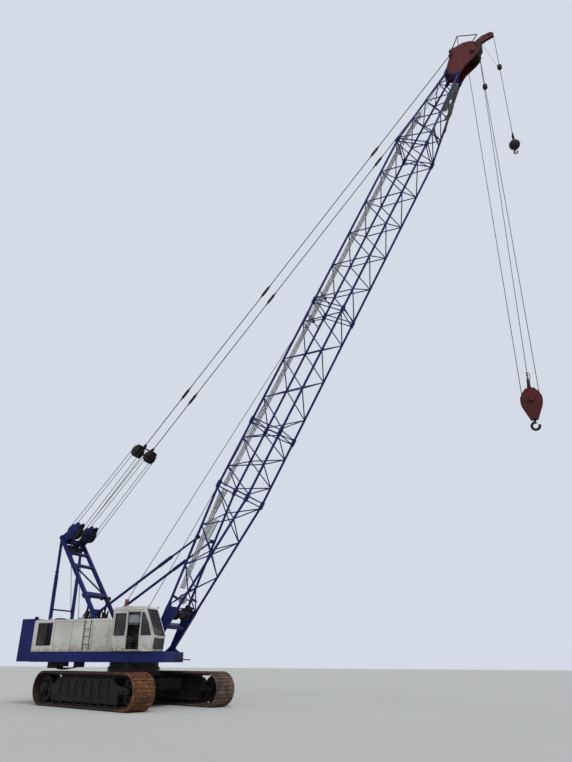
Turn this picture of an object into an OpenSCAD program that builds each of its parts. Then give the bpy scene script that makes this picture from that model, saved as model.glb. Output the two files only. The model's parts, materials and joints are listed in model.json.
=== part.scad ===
// Crawler crane with a lattice boom, full size, in millimetres.
// X runs forward under the boom, Y to the machine's left, Z up from the ground.
// The origin lies on the ground at the slewing centre.
// The upper works stand slewed on the tracks, with the boom raised for work.

/* [Undercarriage] */
// Slewing angle of the upper works against the tracks, degrees
slew_angle = 20; // [-45:1:45]
// Overall length of one track
track_length = 6890; // [6600:10:7300]
// Overall height of one track, over the grousers
track_height = 1264; // [1200:4:1320]
// Width of one track shoe
shoe_width = 960; // [800:10:1000]
// Distance between the centre lines of the tracks
track_gauge = 3890; // [3800:10:4200]
// Number of shoes on one track
shoe_count = 56; // [44:2:60]
// Height of the grouser bar on a shoe
grouser_height = 40; // [25:5:50]
// Thickness of the shoe and link band
band_thickness = 90; // [70:5:110]
// Number of bottom rollers on one side
roller_count = 9; // [7:1:10]
// Radius of a bottom roller
roller_radius = 125; // [110:5:140]
// Outer radius of the slewing ring
ring_radius = 980; // [850:10:1050]

/* [Upper works] */
// Height of the underside of the deck sill
deck_bottom = 1590; // [1560:5:1640]
// Height of the deck's top surface
deck_top = 1975; // [1930:5:2020]
// Half width of the deck and house
deck_half_width = 1665; // [1600:5:1750]
// Forward edge of the deck
deck_front = 2400; // [2300:10:2450]
// Distance from the slewing centre to the rear face of the counterweight
tail_radius = 4757; // [4650:5:5000]
// Thickness of the counterweight along the machine
ballast_length = 827; // [700:10:900]
// Height of the house roof
house_top = 3170; // [3050:10:3300]
// Width of one side house
house_width = 700; // [640:10:720]
// Thickness of the house and cab panels
panel = 30; // [25:1:40]

/* [Cab] */
// Rear face of the cab
cab_rear = 0; // [-30:5:20]
// Height of the cab roof
cab_top = 3600; // [3550:10:3750]
// Outer face of the cab, to the right of the slewing centre
cab_side = 1744; // [1720:4:1780]
// Inner face of the cab, beside the boom
cab_inner = 930; // [910:5:960]
// Travel of the sliding door
door_travel = 600; // [500:10:620]

/* [Gantry] */
// Height of the gantry's top pin
gantry_height = 6720; // [6500:10:7000]
// Distance of the gantry's top pin behind the slewing centre
gantry_back = 4010; // [3950:10:4100]
// Half distance between the gantry legs
gantry_half = 700; // [695:5:760]
// Width of a gantry leg
leg_width = 110; // [90:5:114]

/* [Boom] */
// Boom angle above the horizontal, degrees
boom_angle = 61.37; // [55:0.01:70]
// Foot pin, ahead of the slewing centre
foot_x = 1256; // [1200:2:1320]
// Foot pin, above the ground
foot_z = 2090; // [2080:2:2120]
// Length of the base section, from foot pin to its end
base_length = 6870; // [6600:10:7000]
// Length of the short insert
short_length = 3050; // [3000:10:3100]
// Length of the middle insert
middle_length = 6100; // [5900:10:6200]
// Length of the long insert
long_length = 9140; // [9000:10:9200]
// Length of the tapered tip section
tip_length = 4640; // [4500:10:4800]
// Half height of the boom, between chord centres
boom_half_h = 750; // [700:5:800]
// Half width of the boom, between chord centres
boom_half_w = 770; // [750:5:780]
// Half height of the tip section's far end
tip_half_h = 320; // [300:5:340]
// Half width of the tip section's far end
tip_half_w = 330; // [320:5:340]
// Radius of a chord tube
chord_r = 52; // [45:1:56]
// Radius of a lacing tube
lace_r = 26; // [20:1:30]

/* [Rigging] */
// Radius of a stay rope
stay_r = 20; // [16:1:24]
// Radius of a hoist rope
rope_r = 13; // [10:1:16]
// Groove radius of the head sheaves
head_sheave_r = 300; // [260:5:320]
// Radius of the jib pin bores in the boom head
jib_pin_r = 30; // [25:1:35]
// Groove radius of the nose sheave
nose_sheave_r = 170; // [150:5:180]
// Height of the hook block's sheave above the ground
hook_height = 10680; // [6000:10:14000]
// Height of the ball above the ground
ball_height = 23080; // [16000:10:25000]
// Radius of the headache ball
ball_r = 240; // [200:5:260]

/* [Hidden] */
$fn = 48;

blue = [0.10, 0.13, 0.33];
white = [0.82, 0.82, 0.78];
red = [0.45, 0.09, 0.10];
dark = [0.13, 0.12, 0.12];
steel = [0.42, 0.42, 0.43];
mud = [0.35, 0.25, 0.18];

// Running gap between a piece and its seat
seat = 0.3;

// Track loop, seen from the side
wheel_pitch_r = track_height / 2 - grouser_height;
loop_half = track_length / 2 - track_height / 2;
loop_length = 4 * loop_half + 2 * PI * wheel_pitch_r;
wheel_r = wheel_pitch_r - band_thickness;
inner_step = loop_length / (2 * shoe_count);
// Rim of the wheels, just inside the flats of the loop's inner face
rim_r = wheel_r * cos(90 * inner_step / (PI * wheel_pitch_r)) - seat;
axle_height = track_height / 2;
track_y = track_gauge / 2;
frame_half = 270;
skirt = 30;

// Deck and houses
deck_rear = -(tail_radius - ballast_length);
stay_bay = 150;
deck_neck_half = 950;
deck_nose = foot_x + 470;
deck_side = foot_x - 150;
ring_low = deck_bottom - 340;
ring_step = ring_low + 150;
house_inner = deck_half_width - house_width;
house_front = cab_rear - 60;
house_door_rear = -940;
house_door_front = -230;
house_door_low = deck_top + 130;
house_door_high = house_top - 120;

// Boom stations, measured along the boom from its foot pin
s1 = base_length;
s2 = s1 + short_length;
s3 = s2 + middle_length;
s4 = s3 + long_length;
s5 = s4 + tip_length;
head_s = s5 + 1500;
head_t = -420;
nose_s = s5 + 2860;
nose_t = -740;
stay_s = s5 + 1130;
stay_t = 550;
foot_pin_r = 60;

// A point of the boom, from its place along and across it, in the crane's X and Z
function boom_x(s, t) = foot_x + s * cos(boom_angle) - t * sin(boom_angle);
function boom_z(s, t) = foot_z + s * sin(boom_angle) + t * cos(boom_angle);

// Gantry legs lean back from the deck to the top pin
mast_foot_x = -850;
mast_foot_z = deck_top + 125;
mast_angle = atan2(gantry_height - mast_foot_z, -gantry_back - mast_foot_x);
mast_run = norm([gantry_height - mast_foot_z, -gantry_back - mast_foot_x]);

// Luffing line, from the gantry sheaves to the boom head
reeve_x = -gantry_back + 510;
reeve_z = gantry_height + 280;
bridle_run = 4550;
stay_x = boom_x(stay_s, stay_t);
stay_z = boom_z(stay_s, stay_t);
stay_angle = atan2(stay_z - reeve_z, stay_x - reeve_x);
stay_run = norm([stay_x - reeve_x, stay_z - reeve_z]) - bridle_run;
stay_pin_r = 26;
head_plate_y = gantry_half - 40;
bridle_half = 740;
bridle_inner = 304;
socket_half = bridle_inner + 26.8;
luff_y = [-600, -380, 380, 600];
head_half = 345;

// Backstop tubes, from the gantry legs to the boom's base section
back_y = 580;
back_rise = 333;
back_x0 = -1600;
back_z0 = round(mast_foot_z + (mast_foot_x - back_x0) * (gantry_height - mast_foot_z) / (gantry_back + mast_foot_x)) + back_rise;
back_s = 4560;
back_t = 560;
back_x1 = boom_x(back_s, back_t);
back_z1 = boom_z(back_s, back_t);
back_angle = atan2(back_z1 - back_z0, back_x1 - back_x0);
back_run = norm([back_x1 - back_x0, back_z1 - back_z0]);
sleeve_length = 3950;

// Head sheaves and the plumb lines below them
plumb_x = boom_x(head_s, head_t);
plumb_z = boom_z(head_s, head_t);
whip_x = boom_x(nose_s, nose_t);
whip_z = boom_z(nose_s, nose_t);

// A straight tube between two points
module tube(a, b, r, sides = 0) {
    d = b - a;
    run = norm(d);
    translate(a)
        rotate([0, acos(d[2] / run), atan2(d[1], d[0])])
            cylinder(h = run, r = r, $fn = sides > 0 ? sides : $fn);
}

// A cylinder along Y, centred on the mid plane
module axle(r, length, sides = 0) {
    rotate([90, 0, 0])
        cylinder(h = length, r = r, center = true, $fn = sides > 0 ? sides : $fn);
}

// An outline in X and Z, given its thickness along Y about the mid plane
module slab(points, thick) {
    rotate([90, 0, 0])
        linear_extrude(height = thick, center = true)
            polygon(points);
}

// A box given by its lowest and highest corners
module box(low, high) {
    translate(low)
        cube(high - low);
}

// Both sides of the machine
module both_sides() {
    children();
    mirror([0, 1, 0])
        children();
}

// Undercarriage pieces are drawn along X and turned to the tracks' heading
module undercarriage() {
    rotate([0, 0, -slew_angle])
        children();
}

// Boom pieces are drawn along X with their rear face up, then raised about the foot pin
module on_boom() {
    translate([foot_x, 0, foot_z])
        rotate([0, -boom_angle, 0])
            children();
}

// Point of the track's pitch loop at a distance round it, moved outward
function loop_point(d, out) =
    let (run = 2 * loop_half, arc = PI * wheel_pitch_r, r = wheel_pitch_r + out)
    d < run ? [loop_half - d, -r] :
    d < run + arc ? let (a = (d - run) / arc * 180) [-loop_half - r * sin(a), -r * cos(a)] :
    d < 2 * run + arc ? [-loop_half + (d - run - arc), r] :
    let (a = (d - 2 * run - arc) / arc * 180) [loop_half + r * sin(a), r * cos(a)];

module track() {
    pitch = loop_length / shoe_count;
    outer = [for (i = [0 : shoe_count - 1], k = [0 : 3])
        loop_point((i + [0.06, 0.10, 0.34, 0.38][k]) * pitch, [0, grouser_height, grouser_height, 0][k])];
    inner = [for (i = [0 : 2 * shoe_count - 1])
        loop_point(i * inner_step, -band_thickness)];
    translate([0, 0, axle_height])
        rotate([90, 0, 0])
            linear_extrude(height = shoe_width, center = true)
                difference() {
                    polygon(outer);
                    polygon(inner);
                }
}

module track_frame() {
    top = axle_height + 410;
    low = axle_height - wheel_r + 2 * roller_radius + 12;
    skirt_low = axle_height - wheel_r + roller_radius - 45;
    reach = loop_half - wheel_r - 60;
    // Box beam between the wheels, sloping down towards both ends
    slab([[-reach, low], [reach, low], [reach, axle_height + 120], [reach - 420, top],
        [-reach + 420, top], [-reach, axle_height + 120]], 2 * frame_half);
    // Skirt plates that carry the rollers, and the yokes that carry the wheels
    both_sides()
        translate([0, frame_half - skirt / 2, 0]) {
            slab([[-reach, skirt_low], [reach, skirt_low], [reach, low + 1], [-reach, low + 1]], skirt);
            slab([[reach - 300, axle_height - 90], [loop_half + 120, axle_height - 90],
                [loop_half + 170, axle_height], [loop_half + 120, axle_height + 90],
                [reach - 300, axle_height + 230]], skirt);
            slab([[-reach + 300, axle_height - 90], [-loop_half - 120, axle_height - 90],
                [-loop_half - 170, axle_height], [-loop_half - 120, axle_height + 90],
                [-reach + 300, axle_height + 230]], skirt);
        }
}

// Toothed drive wheel or plain front wheel, in one outline
module toothed_wheel(teeth) {
    depth = 46;
    rotate([90, 0, 0])
        linear_extrude(height = 2 * (frame_half - skirt) - 2 * seat, center = true)
            difference() {
                polygon([for (i = [0 : teeth - 1], k = [0 : 3])
                    let (a = (i + [0, 0.22, 0.5, 0.72][k]) * 360 / teeth, r = rim_r - [depth, 0, 0, depth][k])
                    [r * cos(a), r * sin(a)]]);
                for (a = [0 : 60 : 300])
                    rotate(a)
                        translate([0.55 * wheel_r, 0])
                            circle(r = 70, $fn = 24);
            }
}

module plain_wheel() {
    difference() {
        union() {
            axle(rim_r, 220);
            axle(120, 2 * (frame_half - skirt) - 2 * seat);
        }
        for (a = [0 : 60 : 300])
            rotate([0, a, 0])
                translate([0.62 * wheel_r, 0, 0])
                    axle(75, 300, 24);
    }
}

module track_wheels() {
    reach = loop_half - wheel_r - 200;
    color(dark)
        undercarriage()
            for (side = [-1, 1])
                translate([0, side * track_y, axle_height]) {
                    translate([-loop_half, 0, 0])
                        toothed_wheel(18);
                    translate([loop_half, 0, 0])
                        plain_wheel();
                    // Bottom rollers between the skirt plates
                    for (i = [0 : roller_count - 1])
                        translate([-reach + i * 2 * reach / (roller_count - 1), 0, roller_radius + seat - wheel_r])
                            axle(roller_radius, 2 * (frame_half - skirt) - 2 * seat, 12);
                }
}

module carbody() {
    beam_half = track_y - frame_half;
    color(dark)
        undercarriage() {
            // Centre box under the slewing ring
            difference() {
                translate([0, 0, 560])
                    cylinder(h = ring_low - 560, r = ring_radius + 140, $fn = 8);
                translate([0, 0, 500])
                    cylinder(h = ring_low - 450, r = 420);
            }
            // Axle beams to both track frames
            for (x = [-1, 1])
                box([x * 900 - 260, -beam_half + seat, 600], [x * 900 + 260, beam_half - seat, 1010]);
            // Step plates on the front and rear
            for (x = [-1, 1])
                translate([x * 1270, 0, 700])
                    cube([260, 900, 40], center = true);
        }
}

module slew_ring() {
    color(steel)
        difference() {
            union() {
                translate([0, 0, ring_low + seat])
                    cylinder(h = 150, r = ring_radius + 60);
                translate([0, 0, ring_step])
                    cylinder(h = deck_bottom - ring_step - seat, r = ring_radius);
            }
            translate([0, 0, ring_low - 50])
                cylinder(h = 500, r = ring_radius - 220);
        }
}

// Deck outline: long under the cab, shorter under the boom foot, cut back on the left
module deck_outline(inset) {
    w = deck_half_width - inset;
    polygon([[deck_rear + inset, -w], [deck_front - inset, -w], [deck_front - inset, -cab_inner + 10 - inset],
        [deck_nose - inset, -cab_inner + 10 - inset], [deck_nose - inset, cab_inner - inset], [deck_side - inset, w], [deck_rear + inset, w]]);
}

module turntable() {
    color(blue)
        difference() {
            union() {
                translate([0, 0, deck_bottom])
                    linear_extrude(height = deck_top - deck_bottom)
                        deck_outline(0);
                box([deck_rear - stay_bay, -deck_neck_half + 20, deck_bottom], [deck_rear + 1, deck_neck_half - 20, deck_top]);
            }
            // Pockets between the deck's long beams and cross beams, open below
            for (bay = [[deck_rear + 60, -2500], [-2420, -1200], [1180, deck_nose - 60]],
                 side = [[-deck_half_width + 60, -1000], [-920, 700]])
                box([bay[0], side[0], deck_bottom - 10], [bay[1], side[1], deck_top - 60]);
            for (bay = [[deck_rear + 60, -2500], [-2420, -1200]])
                box([bay[0], 1000, deck_bottom - 10], [bay[1], deck_half_width - 60, deck_top - 60]);
        }
}

// Boom foot brackets and gantry brackets, welded to the deck
module deck_brackets() {
    color(blue) {
        // Boom foot brackets, two cheeks on each side
        both_sides()
            for (y = [boom_half_w - 92, boom_half_w + 92])
                translate([0, y, 0])
                    foot_cheek();
        both_sides()
            translate([foot_x, boom_half_w, foot_z])
                axle(foot_pin_r - seat, 280);
        // Gantry leg brackets with their pins
        both_sides()
            translate([mast_foot_x, gantry_half, 0]) {
                for (y = [-1, 1])
                    translate([0, y * (leg_width / 2 + 14), 0])
                        slab([[-170, deck_top], [170, deck_top], [70, mast_foot_z + 70], [-70, mast_foot_z + 70]], 24);
                translate([0, 0, mast_foot_z])
                    axle(35, leg_width + 50);
            }
    }
}

module foot_cheek() {
    rotate([90, 0, 0])
        linear_extrude(height = 40, center = true)
            union() {
                polygon([[foot_x - 320, deck_top], [foot_x + 320, deck_top],
                    [foot_x + 105, foot_z + 40], [foot_x - 105, foot_z + 40]]);
                translate([foot_x, foot_z])
                    circle(r = 112);
            }
}

module counterweight() {
    low = deck_bottom + 10;
    top = house_top + 60;
    color(blue)
        difference() {
            union() {
                translate([0, 0, low])
                    linear_extrude(height = top - low)
                        polygon([[-tail_radius, -1250], [-tail_radius + 150, -deck_half_width],
                            [deck_rear - seat, -deck_half_width], [deck_rear - seat, deck_half_width],
                            [-tail_radius + 150, deck_half_width], [-tail_radius, 1250]]);
                // Lifting lugs on top
                both_sides()
                    translate([-tail_radius + 420, 1150, 0])
                        slab([[-110, top - 1], [110, top - 1], [60, top + 120], [-60, top + 120]], 60);
            }
            // Bay for the gantry stays at the front
            box([deck_rear - stay_bay - seat, -deck_neck_half, low - 10], [deck_rear + 10, deck_neck_half, top + 10]);
            // Joints between the stacked slabs
            for (z = [low + 0.36 * (top - low), low + 0.7 * (top - low)], y = [-1, 1])
                translate([-tail_radius - 20, y * deck_half_width, z])
                    cube([2200, 30, 22], center = true);
            both_sides()
                translate([-tail_radius + 420, 1150, top + 65])
                    axle(28, 100, 24);
        }
}

// Door hinges: their place along the wall, out from it and up it
hinge_x = house_door_rear + 14;
hinge_out = 10;
hinge_z = [house_door_low + 140, house_door_high - 240];

// One side house: a shell open below and towards the middle, with a door opening
module side_house() {
    outer = deck_half_width;
    inner = house_inner;
    difference() {
        union() {
            box([deck_rear + seat, inner, deck_top], [house_front, outer, house_top - 60]);
            // Roof with a sloping outer edge
            translate([(deck_rear + seat + house_front) / 2, 0, 0])
                rotate([90, 0, 90])
                    linear_extrude(height = house_front - deck_rear - seat, center = true)
                        polygon([[inner, house_top - 61], [outer, house_top - 61], [outer - 60, house_top], [inner, house_top]]);
        }
        box([deck_rear + seat + panel, inner - 10, deck_top - 10], [house_front - panel, outer - panel, house_top - 60 - panel]);
        box([house_door_rear, outer - panel - 10, house_door_low], [house_door_front, outer + 10, house_door_high]);
    }
    // Fixed knuckles of the door hinges, with the pins between them
    for (z = hinge_z) {
        for (k = [z - 30 - seat, z + 80 + seat]) {
            translate([hinge_x, outer + hinge_out, k])
                cylinder(h = 30, r = 9);
            box([house_door_rear - 30, outer - 1, k], [house_door_rear, outer + hinge_out, k + 30]);
            box([house_door_rear - 1, outer + seat, k], [hinge_x, outer + hinge_out, k + 30]);
        }
        translate([hinge_x, outer + hinge_out, z - 20])
            cylinder(h = 120, r = 5);
    }
}

module house_right() {
    grille_low = deck_top + 215;
    grille_high = house_top - 110;
    color(white)
        difference() {
            mirror([0, 1, 0])
                side_house();
            box([-3730, -deck_half_width - 10, grille_low], [-2980, -deck_half_width + panel + 10, grille_high]);
        }
}

module house_left() {
    color(white)
        difference() {
            side_house();
            // Louvre slots beside the radiator
            for (i = [0 : 7])
                box([-3650, deck_half_width - panel - 10, deck_top + 260 + i * 95], [-2700, deck_half_width + 10, deck_top + 310 + i * 95]);
        }
}

// Access door, one thick panel with a pressed frame and a handle
module house_door() {
    gap = 6;
    w = house_door_front - house_door_rear - 2 * gap;
    h = house_door_high - house_door_low - 2 * gap;
    y = deck_half_width;
    box([house_door_rear + gap, y - panel, house_door_low + gap], [house_door_rear + gap + w, y - 8, house_door_high - gap]);
    difference() {
        box([house_door_rear + gap, y - 9, house_door_low + gap], [house_door_rear + gap + w, y, house_door_high - gap]);
        box([house_door_rear + 70, y - 5, house_door_low + 70], [house_door_front - 70, y + 10, house_door_high - 70]);
    }
    box([house_door_front - 90, y - 1, house_door_low + h / 2 - 60], [house_door_front - 60, y + 25, house_door_low + h / 2 + 60]);
    // Hinge barrels on the rear edge, bored for their pins
    for (z = hinge_z)
        difference() {
            union() {
                translate([hinge_x, y + hinge_out, z])
                    cylinder(h = 80, r = 9);
                box([hinge_x, y - 1, z], [hinge_x + 40, y + hinge_out, z + 80]);
            }
            translate([hinge_x, y + hinge_out, z - 1])
                cylinder(h = 82, r = 5.05);
        }
}

module house_door_right() {
    color(white)
        mirror([0, 1, 0])
            house_door();
}

module house_door_left() {
    color(white)
        house_door();
}

module house_grille() {
    x0 = -3730 + seat;
    x1 = -2980 - seat;
    z0 = deck_top + 215 + seat;
    z1 = house_top - 110 - seat;
    y0 = -deck_half_width + 4;
    bars = 11;
    color(dark) {
        difference() {
            box([x0, y0, z0], [x1, y0 + panel - 8, z1]);
            box([x0 + 25, y0 - 10, z0 + 25], [x1 - 25, y0 + panel, z1 - 25]);
        }
        for (i = [1 : bars]) {
            x = x0 + i * (x1 - x0) / (bars + 1);
            z = z0 + i * (z1 - z0) / (bars + 1);
            box([x - 6, y0 + 4, z0 + 10], [x + 6, y0 + 14, z1 - 10]);
            box([x0 + 10, y0 + 4, z - 6], [x1 - 10, y0 + 14, z + 6]);
        }
    }
}

module engine_block() {
    color(steel)
        box([-3600, house_inner + 90, deck_top], [-2050, deck_half_width - 120, deck_top + 850]);
}

// A winch: drum with wound rope, flanges, and a bearing bracket at each end
module winch(drum_r, flange_r, width, height) {
    translate([0, 0, height]) {
        axle(drum_r, width);
        both_sides()
            translate([0, width / 2 + 15, 0])
                axle(flange_r, 32);
        axle(70, width + 200, 24);
    }
    both_sides()
        translate([0, width / 2 + 75, 0])
            difference() {
                slab([[-flange_r, 0], [flange_r, 0], [120, height + 110], [-120, height + 110]], 40);
                translate([0, 0, height])
                    axle(70.1, 60, 24);
            }
}

// Rear and front hoist winches, and the luffing winch behind them
module winches() {
    color(dark) {
        for (x = [-1720, -330])
            translate([x, 0, deck_top])
                winch(250, 400, 900, 520);
        translate([-2930, 0, deck_top])
            winch(210, 330, 760, 430);
    }
}

// Side outline of the cab, grown by a margin
cab_low = deck_top + seat;
screen_low = [cab_rear + 1940, 2490];
nose_foot = cab_rear + 1885;
screen_top = [cab_rear + 1480, cab_top - 70];
screen_lean = atan2(screen_low[0] - screen_top[0], screen_top[1] - screen_low[1]);
screen_run = norm(screen_low - screen_top);
nose_lean = atan2(screen_low[0] - nose_foot, screen_low[1] - cab_low);
function cab_outline(m) = [[cab_rear - m, cab_low - m], [nose_foot + m, cab_low - m],
    screen_low + [m, 0], screen_top + [m, m], [cab_rear + 1300, cab_top + m],
    [cab_rear + 70, cab_top - 20 + m], [cab_rear - m, cab_top - 90]];

module cab_slab(m, y0, y1) {
    translate([0, -(y0 + y1) / 2, 0])
        slab(cab_outline(m), y1 - y0);
}

// Side openings of the cab: rear window, doorway and forward quarter window
side_z0 = 2545;
side_z1 = 3370;
function quarter_window(m) = [[cab_rear + 1340 + m, side_z0 + m], [cab_rear + 1810 - 2 * m, side_z0 + m],
    [cab_rear + 1650 - m, 2990], [cab_rear + 1430 - m, side_z1 - m], [cab_rear + 1340 + m, side_z1 - m]];
module cab_side_cuts() {
    box([cab_rear + 60, -cab_side - 50, side_z0], [cab_rear + 640, -cab_side + panel + 50, side_z1]);
    box([cab_rear + 690, -cab_side - 50, deck_top + 60], [cab_rear + 1280, -cab_side + panel + 50, side_z1 + 20]);
    translate([0, -cab_side, 0])
        slab(quarter_window(0), 160);
}

cab_cut = cab_rear + 1310;
module cab_walls() {
    mid = (cab_side + cab_inner) / 2;
    color(white)
        difference() {
            union() {
                cab_slab(0, cab_inner, cab_side);
                // Rails of the sliding door
                for (z = [side_z1 + 46, deck_top + 22])
                    box([cab_rear + 60, -cab_side - 42, z], [cab_rear + 1310, -cab_side + 1, z + 22]);
            }
            cab_slab(-panel, cab_inner + panel, cab_side - panel);
            cab_side_cuts();
            // Inner side window
            box([cab_rear + 150, -cab_inner - panel - 20, side_z0], [cab_rear + 1250, -cab_inner + 20, side_z1]);
            // Rear window
            box([cab_rear - 20, -cab_side + 130, side_z0 + 60], [cab_rear + panel + 20, -cab_inner - 130, side_z1]);
            // Windscreen, cut square to its slope
            translate([(screen_low[0] + screen_top[0]) / 2, -mid, (screen_low[1] + screen_top[1]) / 2])
                rotate([0, -screen_lean, 0])
                    cube([400, cab_side - cab_inner - 100, screen_run - 110], center = true);
            // Lower front window
            box([nose_foot - 80, -cab_side + 60, deck_top + 90], [nose_foot + 300, -cab_inner - 60, screen_low[1] - 70]);
            // Roof window
            box([cab_rear + 800, -cab_side + 150, cab_top - 120], [cab_rear + 1230, -cab_inner - 150, cab_top + 50]);
        }
}

// Rear part with the doorway, and the front part with the windscreen frame
module cab_shell() {
    difference() {
        cab_walls();
        box([cab_cut - seat / 2, -cab_side - 100, cab_low - 100], [cab_cut + 1000, -cab_inner + 100, cab_top + 100]);
    }
}

module cab_front() {
    difference() {
        cab_walls();
        box([cab_rear - 100, -cab_side - 100, cab_low - 100], [cab_cut + seat / 2, -cab_inner + 100, cab_top + 100]);
    }
}

module cab_glass() {
    mid = (cab_side + cab_inner) / 2;
    g = 8;
    color([0.3, 0.36, 0.38, 0.5]) {
        translate([0, -cab_side + panel / 2, 0])
            slab(quarter_window(seat), g);
        box([cab_rear + 60 + seat, -cab_side + 10, side_z0 + seat], [cab_rear + 640 - seat, -cab_side + 10 + g, side_z1 - seat]);
        box([cab_rear + 150 + seat, -cab_inner - panel + 10, side_z0 + seat], [cab_rear + 1250 - seat, -cab_inner - panel + 10 + g, side_z1 - seat]);
        box([cab_rear + 10, -cab_side + 130 + seat, side_z0 + 60 + seat], [cab_rear + 10 + g, -cab_inner - 130 - seat, side_z1 - seat]);
        box([cab_rear + 800 + seat, -cab_side + 150 + seat, cab_top - 26], [cab_rear + 1230 - seat, -cab_inner - 150 - seat, cab_top - 26 + g]);
        // Windscreen and lower front pane, in the middle of their walls
        translate([(screen_low[0] + screen_top[0]) / 2, -mid, (screen_low[1] + screen_top[1]) / 2])
            rotate([0, -screen_lean, 0])
                translate([-panel / 2, 0, 0])
                    cube([g, cab_side - cab_inner - 100 - 2 * seat, screen_run - 110 - 2 * seat], center = true);
        translate([(nose_foot + screen_low[0]) / 2 - panel / 2, -mid, (deck_top + screen_low[1]) / 2 + 10])
            rotate([0, nose_lean, 0])
                cube([g, cab_side - cab_inner - 120 - 2 * seat, (screen_low[1] - 160 - deck_top) / cos(nose_lean) - 4], center = true);
    }
}

module cab_seat() {
    mid = -(cab_side + cab_inner) / 2;
    floor_z = cab_low + panel + seat;
    color(dark) {
        box([cab_rear + 330, mid - 170, floor_z], [cab_rear + 750, mid + 170, floor_z + 330]);
        box([cab_rear + 290, mid - 240, floor_z + 330], [cab_rear + 820, mid + 240, floor_z + 450]);
        translate([0, mid, 0])
            slab([[cab_rear + 270, floor_z + 400], [cab_rear + 390, floor_z + 400],
                [cab_rear + 300, floor_z + 1080], [cab_rear + 200, floor_z + 1080]], 460);
        // Lever console on the boom side, and the dashboard
        box([cab_rear + 450, -cab_inner - 200, floor_z], [cab_rear + 1150, -cab_inner - panel - 5, floor_z + 620]);
        box([cab_rear + 1500, mid - 160, floor_z], [cab_rear + 1650, mid + 160, floor_z + 560]);
    }
}

// Sliding door, drawn open, outside the rear quarter window
module cab_door() {
    y1 = -cab_side - 5;
    x0 = cab_rear + 690 - door_travel - 10;
    x1 = x0 + 610;
    color(white) {
        difference() {
            box([x0, y1 - panel, deck_top + 44 + seat], [x1, y1, side_z1 + 46 - seat]);
            box([x0 + 60, y1 - panel - 10, side_z0], [x1 - 60, y1 + 10, side_z1 - 30]);
        }
        box([x1 - 45, y1 - panel - 30, 2500], [x1 - 20, y1 - panel + 1, 2700]);
    }
}

module roof_lamp() {
    color([0.6, 0.15, 0.05]) {
        translate([cab_rear + 260, -1300, cab_top - 15.5]) {
            cylinder(h = 60, r = 75);
            cylinder(h = 170, r = 55);
        }
    }
}

// Ladder on the right side house
ladder_x = [-1330, -1040];
module grab_rails() {
    y = -deck_half_width;
    color(dark)
        union() {
            for (x = ladder_x) {
                tube([x, y - 70, deck_top + 60], [x, y - 70, house_top - 20], 15, 12);
                for (z = [deck_top + 110, house_top - 100])
                    tube([x, y - 80, z], [x, y - seat, z], 12, 8);
            }
            for (z = [deck_top + 260 : 280 : house_top - 100])
                tube([ladder_x[0], y - 70, z], [ladder_x[1], y - 70, z], 12, 8);
        }
}

module along_mast() {
    translate([mast_foot_x, 0, mast_foot_z])
        rotate([0, -mast_angle, 0])
            children();
}

module gantry_mast() {
    color(blue) {
        along_mast() {
            both_sides()
                difference() {
                    union() {
                        box([110, gantry_half - leg_width / 2, -80], [mast_run + 110, gantry_half + leg_width / 2, 80]);
                        translate([0, gantry_half, 0])
                            slab([[0, -75], [111, -80], [111, 80], [0, 75]], leg_width);
                        translate([0, gantry_half, 0])
                            axle(75, leg_width);
                    }
                    translate([0, gantry_half, 0])
                        axle(35 + seat, leg_width + 10);
                }
            for (at = [[0.97, 60], [0.86, 45], [0.74, 45], [0.47, 80]])
                box([at[0] * mast_run - at[1], -gantry_half, -60], [at[0] * mast_run + at[1], gantry_half, 60]);
            tube([0.75 * mast_run, -gantry_half, 0], [0.47 * mast_run, gantry_half, 0], 38, 8);
        }
        // Backstop bearings on lugs that reach forward from the legs
        both_sides() {
            translate([back_x0, back_y + 56 + seat, back_z0])
                rotate([-90, 0, 0])
                    cylinder(h = gantry_half - 29 - back_y - 56 - seat, r = 70);
            translate([0, gantry_half, 0])
                slab([[back_x0 - 180, back_z0 - 110], [back_x0 + 20, back_z0 - 85], [back_x0 + 85, back_z0], [back_x0 + 20, back_z0 + 85],
                    [back_x0 - 300, back_z0 + 110]], 60);
        }
        // Head plates that carry the luffing sheaves
        both_sides()
            translate([0, head_plate_y, 0])
                slab([[-gantry_back - 60, gantry_height - 50], [-gantry_back + 190, gantry_height - 160],
                    [reeve_x + 160, reeve_z - 60], [reeve_x + 120, reeve_z + 120], [reeve_x - 120, reeve_z + 130],
                    [-gantry_back - 120, gantry_height + 60]], 36);
        translate([-gantry_back, 0, gantry_height])
            axle(60, 2 * gantry_half);
    }
}

module gantry_stays() {
    x = -gantry_back;
    // The stays end on the underside of the sloping legs
    under = gantry_height - 80 / cos(180 - mast_angle) - 2 * seat;
    slope = tan(180 - mast_angle);
    stay_joint = deck_top + 0.66 * (gantry_height - deck_top);
    color(blue)
        both_sides()
            translate([0, gantry_half, 0]) {
                slab([[x - 45, deck_top], [x + 45, deck_top], [x + 45, under - 45 * slope], [x - 45, under + 45 * slope]], 90);
                // Thicker lower length
                slab([[x - 62, deck_top], [x + 62, deck_top], [x + 62, stay_joint], [x - 62, stay_joint]], 100);
            }
    color(blue)
        box([x - 30, -gantry_half, deck_top + 1665], [x + 30, gantry_half, deck_top + 1725]);
}

// Sheaves of the luffing tackle at the gantry head, on their axle between the head plates
module luff_sheaves() {
    color(dark)
        translate([reeve_x, 0, reeve_z]) {
            axle(55, 2 * (head_plate_y - 18) - 2 * seat);
            for (y = luff_y)
                translate([0, y, 0])
                    sheave(290, 60);
        }
}

// A rope sheave: groove radius and thickness, with a turned groove
module sheave(r, thick) {
    rotate([90, 0, 0])
        rotate_extrude($fn = 48)
            polygon([[0, -thick / 2], [r + 35, -thick / 2], [r + 35, -rope_r - 7], [r, -rope_r - 2],
                [r, rope_r + 2], [r + 35, rope_r + 7], [r + 35, thick / 2], [0, thick / 2]]);
}

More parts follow.
